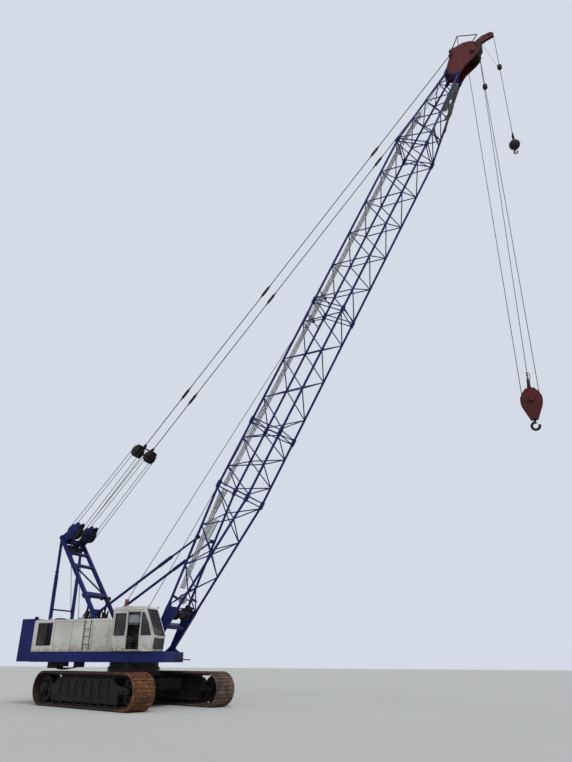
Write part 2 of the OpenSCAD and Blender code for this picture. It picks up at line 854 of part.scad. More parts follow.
module along_stay(y = 0) {
    translate([reeve_x, y, reeve_z])
        rotate([0, -stay_angle, 0])
            children();
}

// Floating bridle: two groups of sheaves between cheeks, tied by a beam, that the stays pull on
module bridle() {
    color(dark)
        along_stay()
            translate([bridle_run, 0, 0]) {
                axle(50, 2 * bridle_half);
                for (y = luff_y)
                    translate([0, y, 0])
                        sheave(230, 56);
                both_sides() {
                    translate([0, bridle_inner - 14, 0])
                        slab([[-130, -110], [60, -150], [420, -60], [420, 60], [60, 150], [-130, 110]], 28);
                    translate([0, bridle_half - 14, 0])
                        slab([[-130, -110], [60, -150], [320, -60], [320, 60], [60, 150], [-130, 110]], 28);
                }
                // Beam that ties the two sheave groups together
                box([268, -bridle_half, -50], [320, bridle_half, 50]);
            }
}

// Two stay ropes with their connectors, from the bridle to the boom head
module pendants() {
    fan = atan2(head_half + 29 - socket_half, stay_run);
    length = stay_run / cos(fan);
    color(steel)
        both_sides()
            along_stay(socket_half)
                translate([bridle_run, 0, 0])
                    rotate([0, 0, fan]) {
                        tube([430, 0, 0], [length - 60, 0, 0], stay_r);
                        // Sockets at both ends
                        box([330, -27, -48], [480, 27, 48]);
                        difference() {
                            box([length - 130, -28, -48], [length + 60, 28, 48]);
                            translate([length, 0, 0])
                                axle(stay_pin_r + 2 * seat, 80);
                        }
                        // Connectors between the lengths of rope
                        for (at = [3450, 9630, 18500])
                            tube([at - 190, 0, 0], [at + 190, 0, 0], 48, 12);
                    }
}

// A tube section of the boom: four chords, zigzag lacing on all faces and an end frame at each end.
// The first lacing joint lies on the right rear chord, or with first = -1 on the right front one.
module lattice(a, b, h0, h1, w0, w1, bays, edge = 160, sides = 16, first = 1) {
    function chord(u, side, up) = [a + u * (b - a), side * (w0 + u * (w1 - w0)), up * (h0 + u * (h1 - h0))];
    u0 = edge / (b - a);
    end = (seat / 2 + (chord_r + 20) * norm([h1 - h0, w1 - w0]) / (b - a)) / (b - a);
    function at(i) = u0 + i * (1 - 2 * u0) / bays;
    function is_even(i) = i % 2 == 0;
    for (side = [-1, 1], up = [-1, 1])
        tube(chord(end, side, up), chord(1 - end, side, up), chord_r, sides);
    for (i = [0 : bays - 1]) {
        even = is_even(i) ? first : -first;
        // Right face, left face, rear face and front face
        tube(chord(at(i), -1, even), chord(at(i + 1), -1, -even), lace_r, 8);
        tube(chord(at(i), 1, -even), chord(at(i + 1), 1, even), lace_r, 8);
        tube(chord(at(i), -even, 1), chord(at(i + 1), even, 1), lace_r, 8);
        tube(chord(at(i), even, -1), chord(at(i + 1), -even, -1), lace_r, 8);
    }
    for (u = [u0 * 0.6, 1 - u0 * 0.6], k = [-1, 1]) {
        tube(chord(u, -1, k), chord(u, 1, k), lace_r, 8);
        tube(chord(u, k, -1), chord(u, k, 1), lace_r, 8);
    }
    // Connector sleeves on the chord ends
    for (side = [-1, 1], up = [-1, 1], e = [end, 1 - end - 110 / (b - a)])
        tube(chord(e, side, up), chord(e + 110 / (b - a), side, up), chord_r + 18, sides);
}

// Base section: it tapers towards the foot, where solid plates end in the pin eyes
base_start = 1560;
base_half_h = 200;
guide_s = 2100;
guide_t = 20;
guide_r = 190;
module boom_base() {
    plate_end = 1600;
    plate_h = base_half_h;
    color(blue)
        on_boom() {
            lattice_base();
            // Foot plates with eyes for the pins
            both_sides()
                translate([0, boom_half_w, 0])
                    difference() {
                        rotate([90, 0, 0])
                            linear_extrude(height = 140, center = true)
                                union() {
                                    polygon([[0, -95], [plate_end, -plate_h - chord_r], [plate_end + 300, -plate_h - chord_r],
                                        [plate_end, 0], [plate_end + 300, plate_h + chord_r],
                                        [plate_end, plate_h + chord_r], [0, 95]]);
                                    circle(r = 100);
                                }
                        axle(foot_pin_r, 200);
                    }
            // Cross box between the foot plates
            box([900, -boom_half_w, -140], [1040, boom_half_w, 140]);
            // Shaft of the guide sheave, in lugs under the rear chords
            translate([guide_s, 0, guide_t])
                axle(30, 2 * boom_half_w);
            both_sides()
                box([guide_s - 45, boom_half_w - 25, guide_t - 45], [guide_s + 45, boom_half_w + 25, rear_face(guide_s)]);
            // Backstop brackets between the rods' eyes and the rear chords
            both_sides()
                box([back_s - 80, back_y + 58, back_t - 120], [back_s + 80, boom_half_w - 12, back_t + 40]);
        }
}

module lattice_base() {
    lattice(base_start, s1, base_half_h, boom_half_h, boom_half_w, boom_half_w, 6, edge = 150);
}

module boom_insert_short() {
    color(blue)
        on_boom()
            lattice(s1, s2, boom_half_h, boom_half_h, boom_half_w, boom_half_w, 4, first = -1);
}

module boom_insert_middle() {
    color(blue)
        on_boom()
            lattice(s2, s3, boom_half_h, boom_half_h, boom_half_w, boom_half_w, 6, first = -1);
}

module boom_insert_long() {
    color(blue)
        on_boom()
            lattice(s3, s4, boom_half_h, boom_half_h, boom_half_w, boom_half_w, 10);
}

module boom_tip() {
    color(blue)
        on_boom()
            union() {
                lattice(s4, s5, boom_half_h, tip_half_h, boom_half_w, tip_half_w, 7, sides = 12);
                // End blocks that the head is pinned to
                for (y = [-tip_half_w, tip_half_w], t = [-tip_half_h, tip_half_h])
                    box([s5 - 50, y - 78, t - 78], [s5 - seat / 2, y + 78, t + 78]);
            }
}

// Boom head: two cheeks with the sheave axle between them
module boom_head() {
    cheek = [[s5 + seat, -tip_half_h - 60], [s5 + 500, -430], [s5 + 1150, -700], [s5 + 1500, -800],
        [s5 + 1830, -680], [s5 + 2100, -250], [s5 + 2120, -60], [s5 + 1980, 260], [s5 + 1560, 660],
        [s5 + 1330, 720], [s5 + 950, 560], [s5 + seat, tip_half_h + 60]];
    color(red)
        on_boom() {
            both_sides()
                translate([0, head_half - 45, 0])
                    difference() {
                        slab(cheek, 40);
                        translate([head_s, 0, head_t])
                            axle(80, 60);
                        // Bore for a jib's pin
                        translate([s5 + 1840, 0, 60])
                            axle(jib_pin_r, 60);
                    }
            // Rear web and root box between the cheeks
            box([s5 + 300, -head_half + 45, 60], [s5 + 1250, head_half - 45, 100]);
            box([s5 + seat, -head_half + 45, 60], [s5 + 340, head_half - 45, tip_half_h]);
            box([s5 + 1700, -head_half + 45, 80], [s5 + 1740, head_half - 45, 380]);
            // Cross beam that carries the nose arm
            box([s5 + 1900, -head_half + 45, -330], [s5 + 2030 - seat, head_half - 45, -170]);
            // Light frame on top of the head
            both_sides() {
                tube([s5 + 1400, head_half - 45, 640], [s5 + 2420, head_half - 45, 740], 18, 8);
                tube([s5 + 2400, head_half - 45, 740], [s5 + 2560, head_half - 45, -230], 18, 8);
                tube([s5 + 2560, head_half - 45, -230], [s5 + 2080, head_half - 45, -200], 18, 8);
            }
            tube([s5 + 2400, -head_half + 45, 740], [s5 + 2400, head_half - 45, 740], 18, 8);
            // Arm for the hoist limit weights, on the right cheek
            tube([s5 + 1300, -head_half + 45, -700], [s5 + 1180, -head_half + 45, -930], 18, 8);
            // Pins for the stays
            translate([stay_s, 0, stay_t])
                both_sides()
                    translate([0, head_half - 45, 0])
                        rotate([-90, 0, 0])
                            cylinder(h = 45 + 29 + 28 + 12, r = stay_pin_r);
        }
}

module head_sheaves() {
    color(dark)
        on_boom()
            translate([head_s, 0, head_t]) {
                axle(80 - seat, 2 * (head_half - 25));
                for (y = [-150, 0, 150])
                    translate([0, y, 0])
                        sheave(head_sheave_r, 70);
            }
}

// Nose arm: two leaf-shaped cheeks that reach past the head with a single sheave
module nose_arm() {
    color(red)
        on_boom() {
            both_sides()
                translate([0, 60, 0])
                    slab([[s5 + 2030, -150], [s5 + 2240, -120], [s5 + 2760, -380], [s5 + 3000, -700],
                        [s5 + 2990, -900], [s5 + 2820, -960], [s5 + 2560, -720], [s5 + 2050, -360]], 24);
            box([s5 + 2030, -60, -340], [s5 + 2300, 60, -180]);
            translate([nose_s, 0, nose_t]) {
                axle(40, 140);
                sheave(nose_sheave_r, 60);
            }
        }
}

// Walkway grating along the inside of the boom's rear face
module grating(a, b, t0, t1) {
    run = norm([b - a, t1 - t0]);
    y0 = -walk_out;
    y1 = -190;
    bars = floor(run / 300);
    translate([a, 0, t0])
        rotate([0, -atan2(t1 - t0, b - a), 0]) {
            for (y = [y0, (y0 + y1) / 2, y1])
                box([0, y - 6, -40], [run, y + 6, 0]);
            for (i = [0 : bars])
                box([i * (run - 30) / bars, y0, -34], [i * (run - 30) / bars + 30, y1, -14]);
        }
}

// Height of the rear face's lacing above the boom's mid line
function rear_face(s) =
    s < s1 ? base_half_h + (boom_half_h - base_half_h) * (s - base_start) / (s1 - base_start) :
    s < s4 ? boom_half_h :
    boom_half_h + (tip_half_h - boom_half_h) * (s - s4) / tip_length;

// Length of the grating inside the tip section, until the chord meets its edge
walk_out = 500;
walk_tip = tip_length * (boom_half_w - chord_r - 30 - walk_out) / (boom_half_w - tip_half_w);
module boom_walkway() {
    under = lace_r + 2 * seat;
    color(steel)
        on_boom()
            for (part = [[2450, s1 - 240], [s1 + 40, s4 - 40], [s4 + 200, s4 + walk_tip]])
                grating(part[0], part[1], rear_face(part[0]) - under, rear_face(part[1]) - under);
}

// Small winch inside the foot of the boom, and the guide sheave above it
module boom_winch() {
    color(dark)
        on_boom() {
            translate([1480, 0, 0]) {
                axle(150, 1000);
                for (y = [-1, 1])
                    translate([0, y * 330, 0])
                        axle(240, 30);
                both_sides()
                    box([-100, 440, -130], [100, boom_half_w - 70 - seat, 60]);
            }
            // Guide sheave for the rope that leaves the drum
            translate([guide_s, -300, guide_t])
                difference() {
                    axle(guide_r, 50);
                    axle(30 + seat, 60);
                }
        }
}

// Backstops: sleeves pinned to the gantry legs, rods that run out of them to the boom
module along_back() {
    translate([back_x0, 0, back_z0])
        rotate([0, -back_angle, 0])
            children();
}

module backstop_sleeves() {
    color(blue)
        along_back()
            both_sides()
                translate([0, back_y, 0])
                    difference() {
                        union() {
                            tube([0, 0, 0], [sleeve_length, 0, 0], 56);
                            tube([sleeve_length - 700, 0, 0], [sleeve_length, 0, 0], 72);
                            axle(80, 110);
                        }
                        tube([200, 0, 0], [sleeve_length + 10, 0, 0], 42);
                    }
}

module backstop_rods() {
    color(blue)
        along_back()
            both_sides()
                translate([0, back_y, 0]) {
                    tube([1500, 0, 0], [back_run - 40, 0, 0], 41.7);
                    axle_at = back_run;
                    translate([axle_at, 0, 0])
                        axle(70, 110);
                }
}

// Falls of the main hoist: two from the head sheaves to the block's sheave, one to its becket
module main_falls() {
    top = plumb_z;
    low = hook_height;
    reach = head_sheave_r + rope_r;
    color(steel) {
        tube([plumb_x - reach, 0, low], [plumb_x - reach, 0, top], rope_r, 8);
        tube([plumb_x + reach, 0, low], [plumb_x + reach, 0, top], rope_r, 8);
        tube([plumb_x, 75, low + 905], [plumb_x + reach, 150, top], rope_r, 8);
    }
}

// Hook block: kite-shaped cheeks about one sheave, with a becket above and a trunnion below
block_drop = 760;
block_outline = [[-150, 475], [150, 475], [300, 300], [385, 110], [395, -20], [365, -170],
    [120, -block_drop], [-120, -block_drop], [-365, -170], [-395, -20], [-385, 110], [-300, 300]];
module hook_block() {
    color(red)
        translate([plumb_x, 0, hook_height]) {
            for (y = [-1, 1])
                translate([0, y * 95, 0])
                    rotate([90, 0, 0])
                        linear_extrude(height = 50, center = true)
                            polygon(block_outline);
            difference() {
                box([-110, -72, -block_drop], [110, 72, 220 - block_drop]);
                translate([0, 0, -block_drop - 10])
                    cylinder(h = 240, r = 30 + seat);
            }
            box([-60, 50, 380], [60, 100, 900]);
            box([-60, -120, 400], [60, 110, 462]);
            axle(60, 240);
            sheave(head_sheave_r, 80);
        }
}

// A forged hook below its shank: a round bowl that opens forward, ending in a point
module forged_hook(shank, bowl, stock) {
    translate([0, 0, -shank - bowl])
        cylinder(h = shank + bowl, r = stock * 0.85);
    translate([0, 0, -shank - bowl * 1.7])
        rotate([90, 0, 0])
            difference() {
                rotate_extrude()
                    translate([bowl, 0])
                        circle(r = stock);
                // The mouth, between the shank and the point
                translate([0, 0, -2 * stock])
                    linear_extrude(height = 4 * stock)
                        polygon([[0, 0], [2 * bowl, bowl * 0.5], [2 * bowl, 2 * bowl], [stock * 0.5, 2 * bowl]]);
            }
}

main_shank = 20;
main_bowl = 140;
module main_hook() {
    color(dark)
        translate([plumb_x, 0, hook_height - block_drop - seat]) {
            forged_hook(main_shank, main_bowl, 50);
            // Shank through the trunnion, with its nut above
            cylinder(h = 225, r = 30);
            translate([0, 0, 221])
                cylinder(h = 60, r = 52, $fn = 6);
        }
}

module whip_x_line() {
    translate([whip_x + nose_sheave_r + rope_r, 0, ball_height])
        children();
}

module whip_line() {
    color(steel)
        whip_x_line()
            translate([0, 0, 679 + seat])
                cylinder(h = whip_z - ball_height - 679 - seat, r = rope_r, $fn = 8);
}

// Rope socket with the upper half of the swivel
module whip_socket() {
    color(dark)
        whip_x_line() {
            translate([0, 0, 430])
                cylinder(h = 90, r = 60, $fn = 24);
            translate([0, 0, 519])
                cylinder(h = 160, r = 40, $fn = 24);
        }
}

// Headache ball with its hook, turning on the swivel
module hook_ball() {
    color(dark)
        whip_x_line() {
            sphere(r = ball_r);
            cylinder(h = 430 - seat, r = 45, $fn = 24);
            translate([0, 0, -ball_r + 10])
                forged_hook(60, 80, 31);
        }
}

module track_frame_right() {
    color(dark)
        undercarriage()
            translate([0, -track_y, 0])
                track_frame();
}

module track_frame_left() {
    color(dark)
        undercarriage()
            translate([0, track_y, 0])
                track_frame();
}

module track_right() {
    color(mud)
        undercarriage()
            translate([0, -track_y, 0])
                track();
}

module track_left() {
    color(mud)
        undercarriage()
            translate([0, track_y, 0])
                track();
}

carbody();
slew_ring();
track_frame_right();
track_frame_left();
track_right();
track_left();
track_wheels();
turntable();
deck_brackets();
counterweight();
house_right();
house_left();
house_door_right();
house_door_left();
house_grille();
engine_block();
winches();
cab_shell();
cab_front();
cab_glass();
cab_seat();
cab_door();
roof_lamp();
grab_rails();
gantry_mast();
gantry_stays();
luff_sheaves();
bridle();
backstop_sleeves();
backstop_rods();
boom_base();
boom_insert_short();
boom_insert_middle();
boom_insert_long();
boom_tip();
boom_head();
head_sheaves();
nose_arm();
boom_walkway();
boom_winch();
pendants();
main_falls();
hook_block();
main_hook();
whip_line();
whip_socket();
hook_ball();
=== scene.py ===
# %% [markdown]
# A crawler crane with a lattice boom, seen from the ground.
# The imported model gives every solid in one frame, in metres: X forward under the boom,
# Y to the machine's left, Z up from the ground. This script gives the solids their finishes,
# and adds the ropes, grating, fasteners and fittings that are too fine for the solids.

# %% Load the frame
import json
import math
import random
import bmesh
import bpy
from mathutils import Matrix, Vector


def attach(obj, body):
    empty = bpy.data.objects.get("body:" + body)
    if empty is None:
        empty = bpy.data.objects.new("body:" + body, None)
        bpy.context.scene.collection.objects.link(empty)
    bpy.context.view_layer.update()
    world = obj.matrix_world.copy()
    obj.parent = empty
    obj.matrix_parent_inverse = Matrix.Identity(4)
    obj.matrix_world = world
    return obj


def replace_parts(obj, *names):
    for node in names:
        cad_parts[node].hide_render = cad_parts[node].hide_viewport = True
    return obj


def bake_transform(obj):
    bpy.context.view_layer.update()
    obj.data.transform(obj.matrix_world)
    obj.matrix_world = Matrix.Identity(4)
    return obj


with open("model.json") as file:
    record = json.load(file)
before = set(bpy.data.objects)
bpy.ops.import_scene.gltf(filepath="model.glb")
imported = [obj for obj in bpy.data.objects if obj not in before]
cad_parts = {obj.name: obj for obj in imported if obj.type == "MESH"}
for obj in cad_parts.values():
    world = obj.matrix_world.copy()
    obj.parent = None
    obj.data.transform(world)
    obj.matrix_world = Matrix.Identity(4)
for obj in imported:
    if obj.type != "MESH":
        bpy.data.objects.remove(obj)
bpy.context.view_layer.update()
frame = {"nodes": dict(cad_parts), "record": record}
nodes = frame["nodes"]

# %% [markdown]
# Places are written as short products of moves and turns, read from left to right.

# %% Moves and turns


def move(x, y, z):
    return Matrix.Translation((x, y, z))


def spin(angle, axis="Y"):
    return Matrix.Rotation(angle, 4, axis)


ACROSS = spin(math.pi / 2, "X")  # lays a sheave's axis across the machine
print("moves and turns ready")

# %% [markdown]
# The camera stands on the ground at eye height, to the right of the machine and ahead of it,
# and looks steeply up. A wide lens and an upward pitch give the boom its strong perspective.

# %% Camera
IMAGE_HEIGHT_PX = 762
FOCAL_PX = 625.26
SENSOR_MM = 24
FAR_CLIP = 400
HEADING, PITCH, ROLL = (math.radians(angle) for angle in (21.569, 24.182, 0.2))
EYE = (16.021, -23.790, 1.627)
camera_data = bpy.data.cameras.new("camera")
camera_data.sensor_fit = "VERTICAL"
camera_data.sensor_height = SENSOR_MM
camera_data.lens = FOCAL_PX / IMAGE_HEIGHT_PX * SENSOR_MM
camera_data.clip_end = FAR_CLIP
camera = bpy.data.objects.new("camera", camera_data)
bpy.context.scene.collection.objects.link(camera)
camera.matrix_world = move(*EYE) @ spin(HEADING, "Z") @ spin(math.pi / 2 + PITCH, "X") @ spin(ROLL, "Z")
bpy.context.scene.camera = camera
print("lens", round(camera_data.lens, 2), "mm")

# %% [markdown]
# Shader maths reads best as plain expressions. This small class wraps one socket of a material,
# so that a * b or 1 - a adds the Math node, and any other node comes from one method that
# takes its type, its settings and what feeds its sockets.

# %% Shader expressions


class Wire:
    def __init__(self, socket):
        self.socket = socket

    def node(self, kind, settings=None, out=0, **inputs):
        tree = self.socket.id_data
        made = tree.nodes.new("ShaderNode" + kind)
        for name, value in (settings or {}).items():
            setattr(made, name, value)
        for name, value in inputs.items():
            key = int(name[1:]) if name[1:].isdigit() else name.replace("_", " ")
            socket = made.inputs[key]
            if isinstance(value, Wire):
                tree.links.new(value.socket, socket)
            else:
                socket.default_value = value
        return Wire(made.outputs[out])

    def math(self, operation, first, second):
        return self.node("Math", {"operation": operation}, i0=first, i1=second)

    def __add__(self, other):
        return self.math("ADD", self, other)

    def __sub__(self, other):
        return self.math("SUBTRACT", self, other)

    def __mul__(self, other):
        return self.math("MULTIPLY", self, other)

    __radd__ = __add__
    __rmul__ = __mul__

    def __rsub__(self, other):
        return self.math("SUBTRACT", other, self)

    def at_most_one(self):
        return self.math("MINIMUM", self, 1.0)

    def between(self, low, high):
        """0 below low, 1 above high, smooth in between."""
        return self.node("MapRange", {"interpolation_type": "SMOOTHSTEP"}, Value=self,
                         From_Min=low, From_Max=high)

    def mix(self, first, second):
        """A colour from first to second by this factor. In a Mix node, 6 and 7 are the colour sockets."""
        return self.node("Mix", {"data_type": "RGBA"}, out=2, i0=self, i6=first, i7=second)


class Finish:
    """One material with its Principled shader, started from object coordinates."""

    def __init__(self, name, **plain):
        self.material = bpy.data.materials.new(name)
        self.material.use_nodes = True
        self.tree = self.material.node_tree
        self.shader = self.tree.nodes["Principled BSDF"]
        self.place = Wire(self.tree.nodes.new("ShaderNodeTexCoord").outputs["Object"])
        for key, value in plain.items():
            self.shader.inputs[key.replace("_", " ")].default_value = value

    def noise(self, scale, detail=4, rough=0.55, stretch=(1, 1, 1)):
        where = self.place.node("Mapping", Vector=self.place, Scale=stretch)
        return self.place.node("TexNoise", Vector=where, Scale=scale, Detail=detail, Roughness=rough)

    def axis(self, letter):
        return self.place.node("SeparateXYZ", out="XYZ".index(letter), Vector=self.place)

    def feed(self, **wires):
        for key, value in wires.items():
            self.tree.links.new(value.socket, self.shader.inputs[key.replace("_", " ")])

    def bump(self, height, strength=0.3, distance=0.004):
        self.feed(Normal=height.node("Bump", Strength=strength, Distance=distance, Height=height))


print("shader helper ready")

# %% [markdown]
# Old machine paint is never one colour. Each paint here has a large, soft variation in shade,
# a finer chalky fading, rain streaks that run down, and dust that gathers low on the machine.

# %% Paint finishes


def rgb(red, green, blue):
    return (red, green, blue, 1)


DUST = rgb(0.30, 0.25, 0.20)
RUST = rgb(0.16, 0.06, 0.03)
DOWNWARD = (1, 1, 0.12)  # noise stretched along Z reads as rain streaks


def paint(name, colour, faded, dirt, rust, rough, low=None):
    finish = Finish(name, Specular_IOR_Level=0.22)
    shade = finish.noise(0.8, 3).between(0.35, 0.65)
    chalk = finish.noise(9, 6, 0.6).between(0.45, 0.75)
    streaks = finish.noise(6, 5, 0.6, DOWNWARD).between(0.52, 0.8)
    chips = finish.noise(34, 3, 0.7).between(0.66, 0.71)
    base = shade.mix(rgb(*colour), rgb(*faded))
    grimy = (chalk * 0.35 * dirt + streaks * 0.55 * dirt).mix(base, DUST)
    if low:
        splash = (1 - finish.axis("Z").between(*low)) * finish.noise(5, 5).between(0.35, 0.6)
        grimy = (splash * 0.75).mix(grimy, DUST)
    worn = (chips * streaks * rust * 8).at_most_one()
    finish.feed(Base_Color=worn.mix(grimy, RUST), Roughness=rough + chalk * 0.2 + streaks * 0.12)
    finish.bump(finish.noise(60, 2) * 0.2 + worn * -0.8, 0.25, 0.002)
    return finish.material


navy = paint("navy_paint", (0.004, 0.007, 0.078), (0.006, 0.013, 0.115), 0.03, 0.05, 0.42)
white = paint("white_paint", (0.60, 0.60, 0.57), (0.47, 0.47, 0.43), 0.62, 0.16, 0.5, (1.95, 2.45))
red = paint("red_paint", (0.052, 0.002, 0.004), (0.10, 0.006, 0.008), 0.05, 0.5, 0.5)
print("paints made")

# %% [markdown]
# The bare and greasy metals differ mainly in roughness: a sheave groove is polished by its rope,
# a track frame is black with grease and dried mud, and a rope is dull with old lubricant.

# %% Metal and other finishes


def metal(name, colour, second, rough=0.45, metallic=0.8, grime=0.5, scale=7):
    finish = Finish(name, Metallic=metallic, Specular_IOR_Level=0.3)
    patch = finish.noise(scale, 6, 0.6).between(0.4, 0.68)
    spots = finish.noise(scale * 6, 4, 0.7).between(0.5, 0.75)
    finish.feed(Base_Color=(patch * grime + spots * 0.2).mix(rgb(*colour), rgb(*second)),
                Roughness=rough + patch * 0.3)
    finish.bump(patch * 0.5 + spots * 0.5, 0.3, 0.003)
    return finish.material


bare_steel = metal("bare_steel", (0.035, 0.032, 0.03), (0.03, 0.018, 0.012), 0.42, 0.5)
dark_frame = metal("dark_frame", (0.005, 0.0045, 0.005), (0.025, 0.017, 0.013), 0.55, 0.2, 0.62, 3)
hook_iron = metal("hook_iron", (0.018, 0.013, 0.012), (0.05, 0.032, 0.022), 0.5, 0.4)
galvanised = metal("galvanised", (0.42, 0.43, 0.43), (0.26, 0.25, 0.23), 0.5, 0.5)
stay_rope = metal("stay_rope", (0.02, 0.02, 0.021), (0.012, 0.010, 0.009), 0.55, 0.3, 0.5, 30)
dark_grille = metal("dark_grille", (0.02, 0.013, 0.011), (0.05, 0.034, 0.026), 0.6, 0.1)


def shoe_finish(name, light, dark, ahead):
    """Greasy steel with dried clay, which lies thickest on the shoes ahead of a point along X."""
    finish = Finish(name, Metallic=0.35)
    clay = finish.noise(2.6, 6, 0.65).between(0.40, 0.62)
    front = finish.axis("X").between(ahead, ahead + 1.6)
    crumbs = finish.noise(40, 5, 0.7).between(0.42, 0.7)
    steel = crumbs.mix(rgb(0.016, 0.014, 0.013), rgb(0.06, 0.045, 0.036))
    earth = finish.noise(7, 4, 0.6).between(0.35, 0.65).mix(rgb(*light), rgb(*dark))
    amount = (clay * (0.10 + front * 0.9) + front * 0.25).at_most_one()
    finish.feed(Base_Color=(crumbs * 0.3).mix(amount.mix(steel, earth), rgb(*dark)),
                Roughness=0.6 + amount * 0.3)
    finish.bump(crumbs * 0.5 + clay, 0.6, 0.012)
    return finish.material


clay_steel = {"right": shoe_finish("track_steel_right", (0.33, 0.13, 0.05), (0.15, 0.06, 0.03), 1.0),
              "left": shoe_finish("track_steel_left", (0.26, 0.165, 0.13), (0.12, 0.08, 0.065), 1.4)}


def glass_finish():
    finish = Finish("window_glass", IOR=1.45)
    film = finish.noise(2.5, 4).between(0.4, 0.75)
    finish.feed(Base_Color=film.mix(rgb(0.03, 0.036, 0.04), rgb(0.10, 0.10, 0.095)),
                Roughness=0.05 + film * 0.25, Alpha=0.5 + film * 0.25)
    return finish.material


def plain(name, colour, rough, scale):
    finish = Finish(name)
    grain = finish.noise(scale, 4)
    darker = [0.65 * c for c in colour]
    finish.feed(Base_Color=grain.between(0.35, 0.7).mix(rgb(*colour), rgb(*darker)),
                Roughness=rough + grain * 0.15)
    finish.bump(grain, 0.25, 0.001)
    return finish.material


window_glass = glass_finish()
seat_fabric = plain("seat_fabric", (0.03, 0.03, 0.034), 0.85, 260)
lamp_plastic = plain("lamp_plastic", (0.28, 0.03, 0.012), 0.2, 30)
rubber = plain("rubber", (0.018, 0.018, 0.018), 0.7, 90)
plastic = plain("plastic", (0.045, 0.045, 0.048), 0.45, 60)
lens = plain("lens", (0.48, 0.48, 0.44), 0.08, 120)
netting = plain("netting", (0.085, 0.085, 0.072), 0.9, 6)
print("metals, glass and rubber made")

# %% [markdown]
# The solids keep their shapes and take the finish of their record slot.

# %% Dress the solids
finish_of_slot = {"dark_frame": dark_frame, "track_steel": clay_steel["right"], "bare_steel": bare_steel,
                  "navy_paint": navy, "white_paint": white, "dark_grille": dark_grille,
                  "window_glass": window_glass, "seat_fabric": seat_fabric, "lamp_plastic": lamp_plastic,
                  "red_paint": red, "galvanised": galvanised, "stay_rope": stay_rope, "hook_iron": hook_iron}
for part in frame["record"]["subparts"]:
    materials = nodes[part["node"]].data.materials
    materials.clear()
    materials.append(finish_of_slot[part["material_slot"]])

# %% [markdown]
# Every new piece is built from a few shapes: a block with eased edges, a round bar, a turned
# profile, a tube along a path, and copies of a small part at many places.
# A piece is made where it belongs in the machine's frame, so its object stays at the origin.

# %% Shapes
SIDES = (-1, 1)


def block(mesh, low, high, at=Matrix(), bevel=0.0, segments=1):
    """A box between two corners."""
    low, high = Vector(low), Vector(high)
    scale = Matrix.Diagonal((*(high - low), 1))
    made = bmesh.ops.create_cube(mesh, size=1, matrix=at @ move(*(low + high) / 2) @ scale)
    if bevel:
        edges = list({edge for vert in made["verts"] for edge in vert.link_edges})
        bmesh.ops.bevel(mesh, geom=edges, offset=bevel, segments=segments, profile=0.5,
                        affect="EDGES", material=-1)


def chunk(mesh, centre, half, at=Matrix(), bevel=0.0, segments=1):
    """A box about its centre, by its half sizes."""
    centre, half = Vector(centre), Vector(half)
    block(mesh, centre - half, centre + half, at, bevel, segments)


def rod(mesh, start, end, radius, sides=8, tip=None, at=Matrix()):
    """A round bar, which tapers where it is given a tip radius."""
    start, end = at @ Vector(start), at @ Vector(end)
    run = end - start
    turn = run.to_track_quat("Z", "Y").to_matrix().to_4x4()
    bmesh.ops.create_cone(mesh, cap_ends=True, segments=sides, radius1=radius, depth=run.length,
                          radius2=radius if tip is None else tip, matrix=move(*(start + end) / 2) @ turn)


def axle(mesh, x, half, z, radius, sides=8, at=Matrix()):
    """A round bar across the machine, as long on both sides of the middle."""
    rod(mesh, (x, -half, z), (x, half, z), radius, sides, at=at)


def stamp(mesh, part, places):
    """Copies of a small part at each place. The part itself is used up."""
    data = bpy.data.meshes.new("stamp")
    for place in places:
        copy = part.copy()
        copy.transform(place)
        copy.to_mesh(data)
        copy.free()
        mesh.from_mesh(data)
    part.free()
    bpy.data.meshes.remove(data)


def turned(mesh, profile, at=Matrix(), steps=24):
    """A profile of (radius, height) points spun about the Z axis of its frame."""
    part = bmesh.new()
    verts = [part.verts.new((radius, 0, height)) for radius, height in profile]
    edges = [part.edges.new(pair) for pair in zip(verts, verts[1:])]
    bmesh.ops.spin(part, geom=verts + edges, axis=(0, 0, 1), cent=(0, 0, 0), angle=math.tau, steps=steps,
                   use_merge=True)
    bmesh.ops.remove_doubles(part, verts=part.verts, dist=1e-5)
    stamp(mesh, part, [at])


def cap(mesh, at, flat, height, radius, edge, steps, foot=0.0):
    """A pin's cap: flat on top out to one radius, then eased down to the full one."""
    turned(mesh, [(0, height), (flat, height), (radius, edge), (radius, foot)], at, steps)


def cheeks_of_hub(mesh, profile, at, steps):
    """The same turned profile on both faces of a sheave."""
    for out in SIDES:
        turned(mesh, [(radius, -out * height) for radius, height in profile], at, steps)


def tube(mesh, points, radius, smooth=False, cyclic=False):
    """A tube along points. With smooth it bends between them like a pipe."""
    curve = bpy.data.curves.new("tube", "CURVE")
    curve.dimensions = "3D"
    curve.bevel_depth = radius
    curve.bevel_resolution = 1
    curve.resolution_u = 6
    curve.use_fill_caps = True
    spline = curve.splines.new("NURBS" if smooth else "POLY")
    spline.points.add(len(points) - 1)
    for control, point in zip(spline.points, points):
        control.co = (*point, 1)
    if smooth:
        spline.order_u = 3
        spline.use_endpoint_u = not cyclic
    spline.use_cyclic_u = cyclic
    holder = bpy.data.objects.new("tube", curve)
    data = bpy.data.meshes.new_from_object(holder)
    mesh.from_mesh(data)
    bpy.data.objects.remove(holder)
    bpy.data.curves.remove(curve)
    bpy.data.meshes.remove(data)


def oblong(half_x, half_y):
    return [(-half_x, -half_y), (half_x, -half_y), (half_x, half_y), (-half_x, half_y)]


